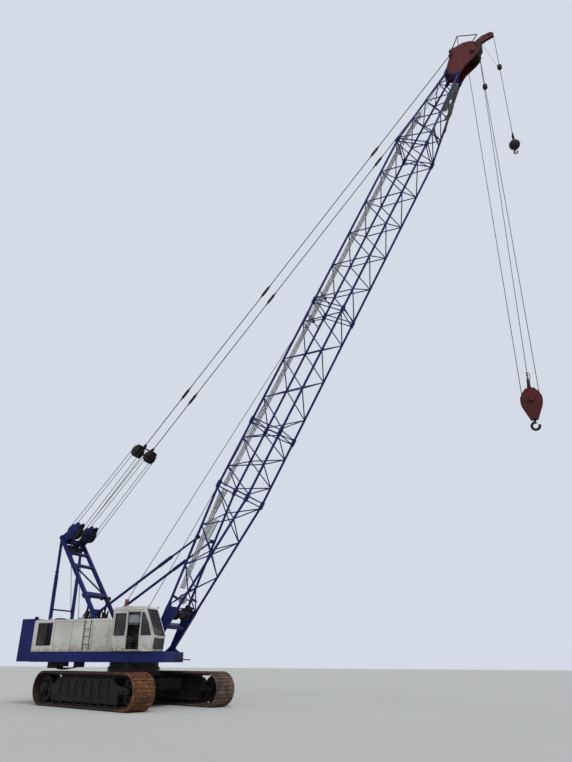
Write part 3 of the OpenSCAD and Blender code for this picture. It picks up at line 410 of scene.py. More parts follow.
def gasket(mesh, corners, width, depth, radius, at=Matrix()):
    """A frame along rounded corners in its XY plane, raised along Z. With no width it is a full plate."""
    part = bmesh.new()
    face = part.faces.new([part.verts.new((x, y, 0)) for x, y in corners])
    bmesh.ops.bevel(part, geom=list(face.verts), offset=radius, segments=4, profile=0.5,
                    affect="VERTICES", material=-1)
    if width:
        inner = list(part.faces)
        bmesh.ops.inset_region(part, faces=inner, thickness=width, use_boundary=True)
        bmesh.ops.delete(part, geom=inner, context="FACES")
    raised = bmesh.ops.extrude_face_region(part, geom=list(part.faces))["geom"]
    verts = [vert for vert in raised if isinstance(vert, bmesh.types.BMVert)]
    bmesh.ops.translate(part, verts=verts, vec=(0, 0, depth))
    stamp(mesh, part, [at])


def bolt(size):
    """A hexagon head on a washer, standing along Z."""
    part = bmesh.new()
    rod(part, (0, 0, 0), (0, 0, size * 0.18), size * 0.75, 10)
    rod(part, (0, 0, size * 0.15), (0, 0, size * 0.7), size * 0.5, 6)
    return part


def circle_of(count, radius, at=Matrix(), lift=0.0):
    """Places on a circle about Z, for bolts and ribs."""
    return [at @ spin(i * math.tau / count, "Z") @ move(radius, 0, lift) for i in range(count)]


def facing(axis, point):
    """A frame at point whose Z runs along one of the machine's axes."""
    return move(*point) @ Vector(axis).to_track_quat("Z", "Y").to_matrix().to_4x4()


def outward(side, x, reach, z):
    """A frame on one side of the machine, reach from its middle, whose Z points away from it."""
    return facing((0, side, 0), (x, side * reach, z))


def grid(columns, rows, size, centre=(0, 0, 0)):
    mesh = bmesh.new()
    bmesh.ops.create_grid(mesh, x_segments=columns, y_segments=rows, size=0.5,
                          matrix=move(*centre) @ Matrix.Diagonal((*size, 1, 1)))
    return mesh


def piece(name, mesh, finish, body, crease=35):
    """The finished mesh as an object that rides a body, smooth except across sharp edges."""
    bmesh.ops.recalc_face_normals(mesh, faces=mesh.faces)
    for face in mesh.faces:
        face.smooth = True
    for edge in mesh.edges:
        edge.smooth = len(edge.link_faces) == 2 and edge.calc_face_angle() < math.radians(crease)
    data = bpy.data.meshes.new(name)
    mesh.to_mesh(data)
    mesh.free()
    data.materials.append(finish)
    made = bpy.data.objects.new(name, data)
    bpy.context.scene.collection.objects.link(made)
    if body:
        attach(made, body)
    print(name, len(data.polygons), "faces")
    return made


print("shapes ready")

# %% [markdown]
# The main parts each have their own frame. The tracks are turned under the deck, the boom runs
# along X from its foot pin, and the gantry mast and the luffing line run along X from their ends.

# %% Frames of the machine
TRACK_HALF_LENGTH = 2.813
TRACK_Y = 1.945
PITCH_RADIUS = 0.592
AXLE_HEIGHT = 0.632
SHOES = 56
DECK_TOP = 1.975
DECK_SIDE = 1.665
HOUSE_TOP = 3.17
CAB_SIDE = 1.744
CAB_INNER = 0.93
CAB_Y = -(CAB_SIDE + CAB_INNER) / 2
BOOM_TILT = 61.37
FOOT_END = 1.56
FOOT_HALF_H = 0.20
BOOM_HALF_H = 0.75
BOOM_HALF_W = 0.77
TIP_TAPER_H = 0.43
TIP_TAPER_W = 0.44
SECTIONS = (6.87, 9.92, 16.02, 25.16, 29.80)
HEAD = Vector((31.30, 0, -0.42))
NOSE = Vector((32.66, 0, -0.74))
HEAD_HALF = 0.345
REEVE = Vector((-3.5, 0, 7.0))
BRIDLE_RUN = 4.55
ROPE = 0.013
BALL_R = 0.24
SOCKET_Y = 0.331


def slope(start, end):
    """The frame at start whose X runs to end, both in the machine's middle plane."""
    run = end - start
    return move(*start) @ spin(-math.atan2(run.z, run.x))


tracks = spin(math.radians(-20), "Z")
boom = move(1.256, 0, 2.09) @ spin(math.radians(-BOOM_TILT))
mast_foot = Vector((-0.85, 0, 2.1))
mast_top = Vector((-4.01, 0, 6.72))
mast_run = (mast_top - mast_foot).length
mast = slope(mast_foot, mast_top)
stay_pin = boom @ Vector((SECTIONS[4] + 1.13, 0, 0.55))
line = slope(REEVE, stay_pin)


def on_track(side):
    return tracks @ move(0, side * TRACK_Y, 0)


def along_boom(points):
    return [boom @ Vector(point) for point in points]


print("pendants end at", tuple(round(c, 2) for c in stay_pin))

# %% [markdown]
# Each track is a chain of flat cast shoes with two low grousers, on links that carry the rail
# for the rollers. The chain runs round the same loop as the solid that it stands for.

# %% Track chains


def loop_place(distance):
    """The frame of a shoe: X along its travel, Z outward from the loop."""
    run, bend = 2 * TRACK_HALF_LENGTH, math.pi * PITCH_RADIUS
    if distance < run:
        centre, angle = TRACK_HALF_LENGTH - distance, math.pi
    elif distance < run + bend:
        centre, angle = -TRACK_HALF_LENGTH, math.pi + (distance - run) / PITCH_RADIUS
    elif distance < 2 * run + bend:
        centre, angle = distance - 1.5 * run - bend, 0.0
    else:
        centre, angle = TRACK_HALF_LENGTH, (distance - 2 * run - bend) / PITCH_RADIUS
    return move(centre, 0, AXLE_HEIGHT) @ spin(angle) @ move(0, 0, PITCH_RADIUS)


def shoe():
    part = bmesh.new()
    block(part, (-0.127, -0.48, -0.03), (0.127, 0.48, 0.006), bevel=0.014)
    block(part, (0.11, -0.47, -0.034), (0.158, 0.47, -0.012), bevel=0.006)
    for x in (-0.07, 0.06):
        block(part, (x - 0.018, -0.45, 0), (x + 0.018, 0.45, 0.04))
    for y in (-0.13, 0.13):
        block(part, (-0.14, y - 0.032, -0.09), (0.12, y + 0.032, -0.028))
        rod(part, (-0.128, y - 0.05, -0.06), (-0.128, y + 0.05, -0.06), 0.034)
    block(part, (-0.06, -0.06, -0.11), (0.05, 0.06, -0.028))
    return part


loop_length = 4 * TRACK_HALF_LENGTH + math.tau * PITCH_RADIUS
shoe_places = [loop_place((i + 0.22) * loop_length / SHOES) for i in range(SHOES)]
for side, word in zip(SIDES, ("right", "left")):
    chain = bmesh.new()
    stamp(chain, shoe(), [on_track(side) @ place for place in shoe_places])
    shoes = piece("shoes_" + word, chain, clay_steel[word], "undercarriage")
    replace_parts(shoes, "track_" + word)

# %% [markdown]
# The side frames carry slide rails under the top run, end caps on the rollers, a final drive
# behind, an adjuster in front, and ribs and bolted covers between them.

# %% Track frames
RIB_STEP = 0.54
TRACK_ROLLER_STEP = 0.52775
FRAME_FACE = 0.27
frames = bmesh.new()
for side in SIDES:
    across = on_track(side)
    block(frames, (-1.85, -0.17, 1.03), (1.85, 0.17, 1.118), across, 0.012)
    block(frames, (-2.2, -0.30, 0.40), (2.2, 0.30, 0.435), across, 0.008)
    for k in range(-3, 4):
        x = k * RIB_STEP
        block(frames, (x - 0.012, -0.295, 0.43), (x + 0.012, 0.295, 0.98), across)
        block(frames, (x - 0.05, -0.21, 0.98), (x + 0.05, 0.21, 1.06), across, 0.01)
    for out in SIDES:
        for k in range(-4, 5):
            end = across @ outward(out, k * TRACK_ROLLER_STEP, FRAME_FACE, 0.255)
            turned(frames, [(0, 0.034), (0.045, 0.034), (0.055, 0.026), (0.062, 0.0)], end, 14)
        for k in range(6):
            x = (k - 2.5) * RIB_STEP
            cover = across @ move(x, out * FRAME_FACE, 0.66)
            block(frames, (-0.17, -0.012, -0.12), (0.17, 0.012, 0.16), cover, 0.006)
            stamp(frames, bolt(0.024), [across @ outward(out, x + dx, FRAME_FACE + 0.01, z)
                                        for dx in (-0.14, 0.14) for z in (0.57, 0.79)])
        # Final drive behind and adjuster in front
        hub = across @ outward(out, -TRACK_HALF_LENGTH, FRAME_FACE, AXLE_HEIGHT)
        turned(frames, [(0, 0.15), (0.11, 0.15), (0.14, 0.13), (0.15, 0.07), (0.235, 0.06), (0.25, 0.04),
                        (0.25, 0)], hub, 28)
        stamp(frames, bolt(0.03), circle_of(14, 0.2, hub, 0.058))
        nose = across @ outward(out, TRACK_HALF_LENGTH, FRAME_FACE, AXLE_HEIGHT)
        turned(frames, [(0, 0.07), (0.07, 0.07), (0.09, 0.05), (0.12, 0.045), (0.13, 0)], nose, 22)
        stamp(frames, bolt(0.026), circle_of(6, 0.085, nose, 0.05))
        rod(frames, (2.1, out * 0.31, AXLE_HEIGHT), (2.62, out * 0.31, AXLE_HEIGHT), 0.035, 10, at=across)
piece("track_frame_fittings", frames, dark_frame, "undercarriage")

# %% [markdown]
# Under the deck, a bolted flange closes the slewing ring, and pipes and a junction block lie
# between the axle beams.

# %% Carbody fittings
carbody = bmesh.new()
stamp(carbody, bolt(0.04), circle_of(40, 1.01, tracks, 1.402))
for end in SIDES:
    beam = end * 0.9
    for side in SIDES:
        chunk(carbody, (beam, side * 0.45, 0.855), (0.3, 0.03, 0.235), tracks, 0.01)
        chunk(carbody, (beam, side * 1.5, 0.805), (0.3, 0.02, 0.235), tracks, 0.01)
        stamp(carbody, bolt(0.05), [tracks @ outward(side, beam + dx, 1.52, z)
                                    for dx in (-0.2, 0, 0.2) for z in (0.68, 0.94)])
    for k in range(5):
        axle(carbody, end * (1.18 + 0.045 * k), 0.44, 0.726, 0.009, 6, tracks)
    block(carbody, (end * 1.08 - 0.16, -0.2, 0.76), (end * 1.08 + 0.16, 0.24, 1.0), tracks, 0.02, 2)
    for k in range(4):
        y = -0.12 + 0.08 * k
        path = ((1.24, y, 0.9), (1.36, y, 0.9), (1.4, y * 2, 0.82), (1.3, y * 6, 0.66), (1.0, y * 9, 0.58),
                (0.95, 1.6 if k > 1 else -1.6, 0.56))
        tube(carbody, [tracks @ Vector((end * x, y, z)) for x, y, z in path], 0.02, True)
piece("carbody_fittings", carbody, dark_frame, "undercarriage")

# %% [markdown]
# The deck sill has flanges at its edges and lashing points. Under its rear are boxes and pipes,
# and a bar stands out in front of the boom foot.

# %% Deck fittings
deck = bmesh.new()
for side in SIDES:
    y = side * (DECK_SIDE + 0.004)
    front = 2.39 if side < 0 else 1.09
    for z in (1.60, 1.955):
        block(deck, (-3.92, y - 0.008, z - 0.012), (front, y + 0.008, z + 0.012), bevel=0.003)
    for x in (-3.6, -2.2, -0.7, 0.9):
        turned(deck, [(0, 0.012), (0.03, 0.012), (0.045, 0.028), (0.06, 0.012), (0.065, 0)],
               outward(side, x, DECK_SIDE, 1.72), 14)
piece("deck_fittings", deck, navy, "upper_works")

under = bmesh.new()
bar = ((1.62, -0.62), (1.95, -0.62), (2.34, -0.3), (2.42, 0.1), (2.34, 0.5), (1.95, 0.8), (1.62, 0.8))
tube(under, [(x, y, 1.69) for x, y in bar], 0.024, True)
for y in (-0.62, 0.8):
    block(under, (1.6, y - 0.06, 1.62), (1.74, y + 0.06, 1.76), bevel=0.01)
for low, high, bevel in (((-3.3, -1.30, 1.36), (-2.75, -0.95, 1.59), 0.015),
                         ((-2.6, -1.42, 1.43), (-2.3, -1.2, 1.59), 0.012),
                         ((-1.95, -1.36, 1.40), (-1.6, -1.1, 1.59), 0.012)):
    block(under, low, high, bevel=bevel)
for k in range(5):
    y = -1.28 + k * 0.05
    tube(under, [(-3.0 + 0.1 * k, y, 1.55), (-2.9, y, 1.36), (-2.5, y - 0.03, 1.31 + 0.015 * k),
                 (-2.0, y, 1.37), (-1.75, y, 1.5)], 0.017, True)
piece("deck_pipes", under, dark_frame, "upper_works")

# %% [markdown]
# The houses are sheet steel on frames. Their seams are sealed joints, their roofs have gutters
# and lifting eyes, and the doors have latches and hinge straps.

# %% House fittings


def grab_handle(mesh, x, wall, side, low, high, radius):
    """A long handle on a side wall, bent in at both ends."""
    out = wall + side * 0.05
    tube(mesh, [(x, wall, low), (x, out, low + 0.02), (x, out, high - 0.02), (x, wall, high)], radius)


for side, word in zip(SIDES, ("right", "left")):
    trim = bmesh.new()
    seams = bmesh.new()
    wall = side * DECK_SIDE
    for x in (-2.86, -1.99, -1.42, -0.985, -0.19):
        block(seams, (x - 0.006, wall - 0.002, 1.99), (x + 0.006, wall + 0.002, 3.10))
    for z in (2.02, 3.098):
        block(seams, (-3.9, wall - 0.002, z - 0.004), (-0.07, wall + 0.002, z + 0.004))
    for x in (-2.4, -1.5, -0.5):
        block(seams, (x - 0.005, side * 1.0, HOUSE_TOP - 0.001), (x + 0.005, side * 1.6, HOUSE_TOP + 0.002))
    # Roof gutter, lifting eyes and a vent
    block(trim, (-3.9, side * 1.60, 3.165), (-0.07, side * 1.62, 3.185), bevel=0.004)
    for x in (-3.4, -0.5):
        gasket(trim, [(-0.05, 0), (0.05, 0), (0.05, 0.11), (-0.05, 0.11)], 0.022, 0.02, 0.03,
               move(x, side * 1.3, HOUSE_TOP) @ ACROSS)
    turned(trim, [(0, 0.11), (0.1, 0.10), (0.13, 0.06), (0.09, 0.05), (0.09, 0)],
           move(-1.9, side * 1.3, HOUSE_TOP), 20)
    # Panel latches
    for x in (-3.55 if side > 0 else -2.62, -2.3, -1.6):
        for z in (2.2, 2.95):
            turned(trim, [(0, 0.012), (0.022, 0.012), (0.026, 0.006), (0.03, 0)],
                   outward(side, x, DECK_SIDE, z), 12)
    grab_handle(trim, -0.14, wall, side, 2.35, 2.77, 0.011)
    piece("house_trim_" + word, trim, white, "upper_works")
    piece("house_seams_" + word, seams, rubber, "upper_works")
    door = bmesh.new()
    for z in (2.285, 2.85):
        block(door, (-0.93, wall - 0.002, z - 0.03), (-0.80, wall + side * 0.006, z + 0.03), bevel=0.002)
    handle = outward(side, -0.31, DECK_SIDE - 0.004, 2.56)
    gasket(door, oblong(0.045, 0.07), 0.012, 0.01, 0.015, handle)
    turned(door, [(0, 0.02), (0.012, 0.02), (0.014, 0)], handle, 10)
    piece("door_latch_" + word, door, galvanised, word + "_house_door")

roof_bits = bmesh.new()
block(roof_bits, (-3.10, -1.5, 3.17), (-2.72, -1.12, 3.235), bevel=0.02, segments=2)
for x in (-3.02, -2.91, -2.8):
    block(roof_bits, (x - 0.02, -1.46, 3.23), (x + 0.02, -1.16, 3.25), bevel=0.005)
louvres = bmesh.new()
for k in range(8):
    block(louvres, (-3.66, -0.02, -0.004), (-2.69, 0.02, 0.004),
          move(0, DECK_SIDE + 0.006, DECK_TOP + 0.305 + k * 0.095) @ spin(-0.7, "X"))
piece("roof_hatch", roof_bits, dark_frame, "upper_works")
piece("left_louvres", louvres, white, "upper_works")

# %% [markdown]
# The winches stand open between the houses. Each drum shows its rope in close turns, with
# ribbed flanges, a motor and a gear case on its ends, and pipes to the valve block.

# %% Winches
wraps = bmesh.new()
gear = bmesh.new()
for x, z, width, drum, flange in ((-1.72, 2.495, 0.9, 0.25, 0.40), (-0.33, 2.495, 0.9, 0.25, 0.40),
                                  (-2.93, 2.405, 0.76, 0.21, 0.33)):
    profile = []
    for k in range(int(width / (2 * ROPE)) - 1):
        base = -width / 2 + 0.01 + k * 2 * ROPE
        profile += [(drum, base), (drum + 0.014, base + 0.006), (drum + 0.014, base + 0.020)]
    turned(wraps, profile, move(x, 0, z) @ ACROSS, 30)
    for side in SIDES:
        end = outward(side, x, width / 2 + 0.031, z)
        for place in circle_of(8, 0, end):
            block(gear, (0.1, -0.012, -0.004), (flange - 0.02, 0.012, 0.02), place)
        turned(gear, [(0, 0.125), (0.10, 0.125), (0.13, 0.10), (0.13, 0.075)], end, 20)
        stamp(gear, bolt(0.022), circle_of(8, 0.105, end, 0.118))
        stamp(gear, bolt(0.03), [move(x + k * flange * 0.8, side * (width / 2 + 0.075), DECK_TOP)
                                 for k in SIDES])
# A valve block on a post between the drums, with pipes that arch over to both sides
block(gear, (-2.43, 0.0, DECK_TOP), (-2.33, 0.16, 3.06), bevel=0.01)
block(gear, (-2.52, -0.26, 3.04), (-1.98, 0.34, 3.36), bevel=0.03, segments=2)
block(gear, (-1.90, -0.20, 3.00), (-1.50, 0.24, 3.30), bevel=0.03, segments=2)
turned(gear, [(0, 0), (0.10, 0), (0.12, 0.03), (0.12, 0.24), (0.10, 0.27), (0, 0.27)],
       move(-2.12, 0.05, 3.34), 18)
for k in range(7):
    x, top = -2.46 + 0.11 * k, 3.46 + 0.045 * (k * 3 % 5)
    path = ((x, 0.22, 3.3), (x, 0.26, top), (x - 0.05, 0.42, top + 0.04), (x - 0.04 * k, 0.56, 3.1),
            (-2.42 + 0.03 * k, 0.58, DECK_TOP))
    for side in SIDES:
        tube(gear, [(x, side * y, z) for x, y, z in path], 0.022, True)
piece("drum_rope", wraps, stay_rope, "upper_works")
piece("winch_fittings", gear, dark_frame, "upper_works")

# %% [markdown]
# The cab has rubber gaskets round its glass, a wiper, a rain rail, grab handles, lamps and
# a beacon on a stalk. Inside are levers, pedals and a display.

# %% Cab fittings


def window(mesh, x0, x1, z0, z1, y, width=0.035, depth=0.02, radius=0.06):
    """A gasket round a window of a side wall."""
    corners = [(0, 0), (x1 - x0, 0), (x1 - x0, z1 - z0), (0, z1 - z0)]
    gasket(mesh, corners, width, depth, radius, move(x0, y, z0) @ ACROSS)


def lamp_face(mesh, point, grow=0.0):
    """The lens of a lamp that shines ahead."""
    profile = [(0, 0.02), (0.02 + grow, 0.018), (0.028 + grow, 0.004), (0.03 + grow, -0.01)]
    turned(mesh, profile, facing((1, 0, 0), point), 16)


STUD = [(0, 0.02), (0.025, 0.02), (0.03, 0)]
UPRIGHT = spin(math.pi / 2, "Z")
seals = bmesh.new()
window(seals, 0.045, 0.655, 2.53, 3.385, -CAB_SIDE + 0.008)
window(seals, 0.135, 1.265, 2.53, 3.385, -CAB_INNER + 0.012)
quarter = [(1.335, 2.54), (1.80, 2.54), (1.655, 2.995), (1.44, 3.375), (1.335, 3.375)]
gasket(seals, quarter, 0.03, 0.018, 0.02, move(0, -CAB_SIDE + 0.008, 0) @ ACROSS)
screen_low, screen_top = Vector((1.940, CAB_Y, 2.490)), Vector((1.480, CAB_Y, 3.530))
lean = screen_top - screen_low
screen = move(*(screen_low + screen_top) / 2) @ spin(math.atan2(lean.z, -lean.x)) @ UPRIGHT
half_w, half_h = (CAB_SIDE - CAB_INNER - 0.08) / 2, (lean.length - 0.09) / 2
gasket(seals, oblong(half_w, half_h), 0.035, 0.014, 0.05, screen)
low_front = move(1.905, CAB_Y, 2.245) @ spin(math.pi / 2 + 0.106) @ UPRIGHT
gasket(seals, oblong(0.36, 0.19), 0.03, 0.012, 0.04, low_front)
# Wiper with its motor
rod(seals, (0.18, -half_h + 0.02, 0.03), (0.02, 0.18, 0.04), 0.008, at=screen)
block(seals, (-0.012, -0.16, 0.018), (0.008, 0.42, 0.034), screen @ spin(0.18, "Z"))
turned(seals, [(0, 0.04), (0.025, 0.04), (0.03, 0)], screen @ move(0.18, -half_h + 0.02, 0.005), 12)
piece("cab_seals", seals, rubber, "upper_works")

cab_trim = bmesh.new()
block(cab_trim, (0.02, -CAB_SIDE - 0.02, 3.475), (1.36, -CAB_SIDE + 0.004, 3.495), bevel=0.004)
block(cab_trim, (0.30, -1.62, 3.598), (0.72, -1.05, 3.625), bevel=0.012, segments=2)
grab_handle(cab_trim, 1.31, -CAB_SIDE, -1, 2.2, 2.8, 0.012)
for y in (-1.66, -1.01):
    block(cab_trim, (1.50, y - 0.035, 3.55), (1.58, y + 0.035, 3.63), bevel=0.012)
for y in (-1.73, -0.945):
    tube(cab_trim, [(1.96, y, 2.51), (1.9, y, 2.64), (1.74, y, 3.0), (1.52, y, 3.48)], 0.014)
block(cab_trim, (1.93, -1.70, 2.46), (2.02, -1.60, 2.54), bevel=0.012)
piece("cab_trim", cab_trim, white, "upper_works")

lamps = bmesh.new()
for y in (-1.66, -1.01):
    lamp_face(lamps, (1.58, y, 3.59))
lamp_face(lamps, (2.02, -1.65, 2.50), 0.006)
piece("lamp_glass", lamps, lens, "upper_works")

GUARD_R = 0.086
beacon = bmesh.new()
stalk = move(0.26, -1.30, 3.60)
turned(beacon, [(0.03, 0), (0.03, 0.12), (0.075, 0.135), (0.085, 0.15), (0.085, 0.17)], stalk, 16)
for place in circle_of(6, GUARD_R, stalk):
    rod(beacon, (0, 0, 0.16), (-0.005, 0, 0.31), 0.004, 5, at=place)
tube(beacon, [place.translation for place in circle_of(16, GUARD_R, stalk, 0.31)], 0.005, cyclic=True)
piece("beacon_guard", beacon, dark_frame, "upper_works")
dome = bmesh.new()
turned(dome, [(0.078, 0.17), (0.078, 0.24), (0.066, 0.28), (0.04, 0.30), (0, 0.305)], stalk, 20)
piece("beacon_dome", dome, lamp_plastic, "upper_works")

# %% [markdown]
# The sliding door stands open. Its pane sits in a rubber gasket and slides with it.

# %% Door pane
pane = bmesh.new()
block(pane, (0.138, -1.768, 2.543), (0.632, -1.762, 3.342))
piece("door_pane", pane, window_glass, "cab_door")
door_seal = bmesh.new()
for y, depth in ((-1.776, 0.012), (-1.748, 0.01)):
    window(door_seal, 0.125, 0.645, 2.53, 3.355, y, 0.03, depth, 0.05)
for x in (0.14, 0.62):
    turned(door_seal, STUD, outward(-1, x, 1.779, 2.05), 12)
piece("door_seals", door_seal, rubber, "cab_door")

# %% [markdown]
# The driver's seat has a sprung cushion and a backrest. Each starts a little smaller, is
# remeshed finely and swelled by a short cloth simulation, with a cap on how far it may move.

# %% Seat
VOXEL = 0.012
SWELL_FRAMES = 20
SWELL_CAP = 0.02


def settled(pad):
    """Gives the piece the mesh that its modifiers make."""
    shaped = bpy.data.meshes.new_from_object(pad.evaluated_get(bpy.context.evaluated_depsgraph_get()))
    shaped.materials.clear()
    shaped.materials.append(seat_fabric)
    pad.data = shaped


def cushion(name, low, high, at=Matrix()):
    mesh = bmesh.new()
    block(mesh, low, high, at, bevel=0.03, segments=3)
    pad = piece(name, mesh, seat_fabric, None)
    remesh = pad.modifiers.new("even", "REMESH")
    remesh.mode = "VOXEL"
    remesh.voxel_size = VOXEL
    settled(pad)
    pad.modifiers.remove(remesh)
    before = [vert.co.copy() for vert in pad.data.vertices]
    cloth = pad.modifiers.new("swell", "CLOTH")
    cloth.settings.use_pressure = True
    cloth.settings.uniform_pressure_force = 4
    cloth.settings.effector_weights.gravity = 0
    for number in range(1, SWELL_FRAMES + 1):
        bpy.context.scene.frame_set(number)
    settled(pad)
    pad.modifiers.remove(cloth)
    bpy.context.scene.frame_set(1)
    for vert, start in zip(pad.data.vertices, before):
        step = vert.co - start
        vert.co = start + step * min(1, SWELL_CAP / max(step.length, 1e-6))
    for face in pad.data.polygons:
        face.use_smooth = True
    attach(pad, "upper_works")


# The rest of the seat is placed from a point on the cab's floor, halfway across the cab
FLOOR_Z = 2.006
cab_floor = move(0, CAB_Y, FLOOR_Z)
cushion("seat_cushion", (0.30, CAB_Y - 0.23, FLOOR_Z + 0.34), (0.81, CAB_Y + 0.23, FLOOR_Z + 0.44))
cushion("seat_backrest", (-0.05, -0.22, 0), (0.05, 0.22, 0.62), cab_floor @ move(0.33, 0, 0.45) @ spin(-0.13))
base = bmesh.new()
block(base, (0.36, -0.15, 0), (0.72, 0.15, 0.10), cab_floor, 0.01)
for k in range(4):
    z = 0.10 + 0.05 * k
    block(base, (0.38, -0.13, z), (0.70, 0.13, z + 0.035), cab_floor, 0.012)
block(base, (0.31, -0.2, 0.29), (0.79, 0.2, 0.335), cab_floor, 0.01)
for y in (-0.26, 0.20):
    block(base, (0.34, y, 0.60), (0.62, y + 0.06, 0.64), cab_floor, 0.012, 2)
    block(base, (0.30, y + 0.02, 0.34), (0.34, y + 0.04, 0.62), cab_floor, 0.005)
# Lever console beside the boom, dashboard, pedals and display
block(base, (0.46, -1.12, FLOOR_Z), (1.14, -0.97, FLOOR_Z + 0.60), bevel=0.02, segments=2)
block(base, (1.52, -0.15, 0), (1.64, 0.15, 0.54), cab_floor, 0.02, 2)
for x in (0.62, 0.74, 0.86, 0.98):
    rod(base, (x, -1.05, FLOOR_Z + 0.58), (x + 0.02, -1.06, FLOOR_Z + 0.80), 0.006)
    turned(base, [(0, 0.02), (0.016, 0.014), (0.02, 0), (0.014, -0.014), (0, -0.02)],
           move(x + 0.02, -1.06, FLOOR_Z + 0.81), 10)
for y in (-0.1, 0.1):
    chunk(base, (0, y, 0), (0.005, 0.035, 0.05), cab_floor @ move(1.47, 0, 0.10) @ spin(0.6), 0.003)
block(base, (1.53, 0.12, 0.58), (1.56, 0.34, 0.76), cab_floor, 0.01)
rod(base, (1.56, 0.2, 0.3), (1.56, 0.22, 0.6), 0.012, at=cab_floor)
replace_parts(piece("seat_base", base, plastic, "upper_works"), "cab_seat")

# %% [markdown]
# The gantry is held by pins with collars. Its head carries inner cheeks and rope keepers round
# the sheaves, with a load cell and a limit switch below, and a heavy roller bar crosses its legs.

# %% Gantry fittings
STAY_X = mast_top.x
gantry = bmesh.new()
for side in SIDES:
    for point, radius, reach in ((mast_top, 0.075, 0.757), (mast_foot, 0.06, 0.755), (REEVE, 0.085, 0.679)):
        end = outward(side, point.x, reach, point.z)
        cap(gantry, end, radius * 0.7, 0.03, radius, 0.02, 18)
        stamp(gantry, bolt(0.022), circle_of(3, radius * 0.5, end, 0.028))
    # Weld plates where the cross members meet the legs
    for along in (0.97, 0.86, 0.74, 0.47):
        chunk(gantry, (along * mast_run, side * 0.643, 0), (0.13, 0.004, 0.072), mast, 0.003)
    # Collars on the stays and clamps on the pipes
    for z in (2.05, 4.98, 5.23):
        chunk(gantry, (STAY_X, side * 0.7, z), (0.068, 0.056, 0.03), bevel=0.006)
    tube(gantry, [mast @ Vector((s, side * 0.762, 0.03)) for s in (0.4, 2.0, 3.6, 5.2)], 0.012)
    for s in (0.5, 1.6, 2.7, 3.8, 4.9):
        chunk(gantry, (s, side * 0.757 + 0.008, 0.03), (0.02, 0.012, 0.03), mast, 0.003)
piece("gantry_fittings", gantry, navy, "upper_works")

SHEAVE_Y = (-0.6, -0.38, 0.38, 0.6)
head_arm = move(*REEVE) @ spin(-math.atan2(0.38, 0.42))
rigging = bmesh.new()
for side in SIDES:
    block(rigging, (-0.52, side * 0.315 - 0.012, -0.11), (0.15, side * 0.315 + 0.012, 0.11), head_arm, 0.02)
for y in SHEAVE_Y:
    cheeks_of_hub(rigging, [(0.06, 0), (0.09, 0), (0.095, 0.034), (0.28, 0.034), (0.30, 0.030)],
                  move(REEVE.x, y, REEVE.z) @ ACROSS, 24)
for angle in (0.2, 1.0, 1.9, 2.8):
    spot = REEVE + 0.345 * Vector((math.cos(angle), 0, math.sin(angle)))
    for side in SIDES:
        rod(rigging, (spot.x, side * 0.31, spot.z), (spot.x, side * 0.65, spot.z), 0.014)
# Load cell, limit switch and rope guide under the head
guide_x = 0.93 * mast_run
block(rigging, (0.885 * mast_run, -0.34, 0.05), (0.955 * mast_run, 0.02, 0.30), mast, 0.02, 2)
block(rigging, (0.90 * mast_run, 0.10, 0.04), (0.97 * mast_run, 0.42, 0.22), mast, 0.02, 2)
axle(rigging, guide_x, 0.6, 0.10, 0.05, 14, mast)
for y in (-0.5, -0.15, 0.2, 0.55):
    turned(rigging, [(0.05, -0.05), (0.09, -0.05), (0.06, 0), (0.09, 0.05), (0.05, 0.05)],
           mast @ move(guide_x, y, 0.10) @ ACROSS, 16)
# Roller bar at the heavy cross member, which reaches past the left leg
bar_x = 0.47 * mast_run
rod(rigging, (bar_x, -0.62, 0.13), (bar_x, 1.16, 0.13), 0.055, 16, at=mast)
for y in (-0.6, 0.62, 1.14):
    turned(rigging, [(0.05, -0.02), (0.10, -0.02), (0.10, 0.02), (0.05, 0.02)],
           mast @ move(bar_x, y, 0.13) @ ACROSS, 18)
for side in SIDES:
    chunk(rigging, (bar_x, side * 0.70, 0.114), (0.07, 0.05, 0.036), mast, 0.01)
    # Raising cylinders between the deck and the cross member
    y = side * 0.60
    rod(rigging, (-2.30, y, 1.98), (-2.20, y, 3.55), 0.075, 16)
    rod(rigging, (-2.20, y, 3.53), (-2.13, y, 4.18), 0.045, 14)
    turned(rigging, [(0.045, 0), (0.085, 0), (0.085, 0.05), (0.045, 0.05)], move(-2.2, y, 3.51), 16)
piece("gantry_head_fittings", rigging, dark_frame, "upper_works")

# %% [markdown]
# Wire rope is a tube with many rings.
# The luffing falls run from the gantry sheaves to the floating bridle, two on each sheave.

# %% Rope helper


def spread(start, end, count):
    start, end = Vector(start), Vector(end)
    return [start.lerp(end, k / count) for k in range(count + 1)]


def arc(centre, radius, first, last, y, count=10):
    """Points round a sheave, in a vertical plane, from one angle to another in degrees."""
    angles = [math.radians(first + (last - first) * k / count) for k in range(count + 1)]
    return [Vector((centre.x + radius * math.cos(a), y, centre.z + radius * math.sin(a))) for a in angles]


def rope(name, paths, body, between=None, radius=ROPE, replaced=None):
    mesh = bmesh.new()
    for path in paths:
        tube(mesh, path, radius)
    made = piece(name, mesh, stay_rope, None if between else body, 50)
    if between:
        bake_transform(made)
    if replaced:
        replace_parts(made, replaced)


print("rope helper ready")

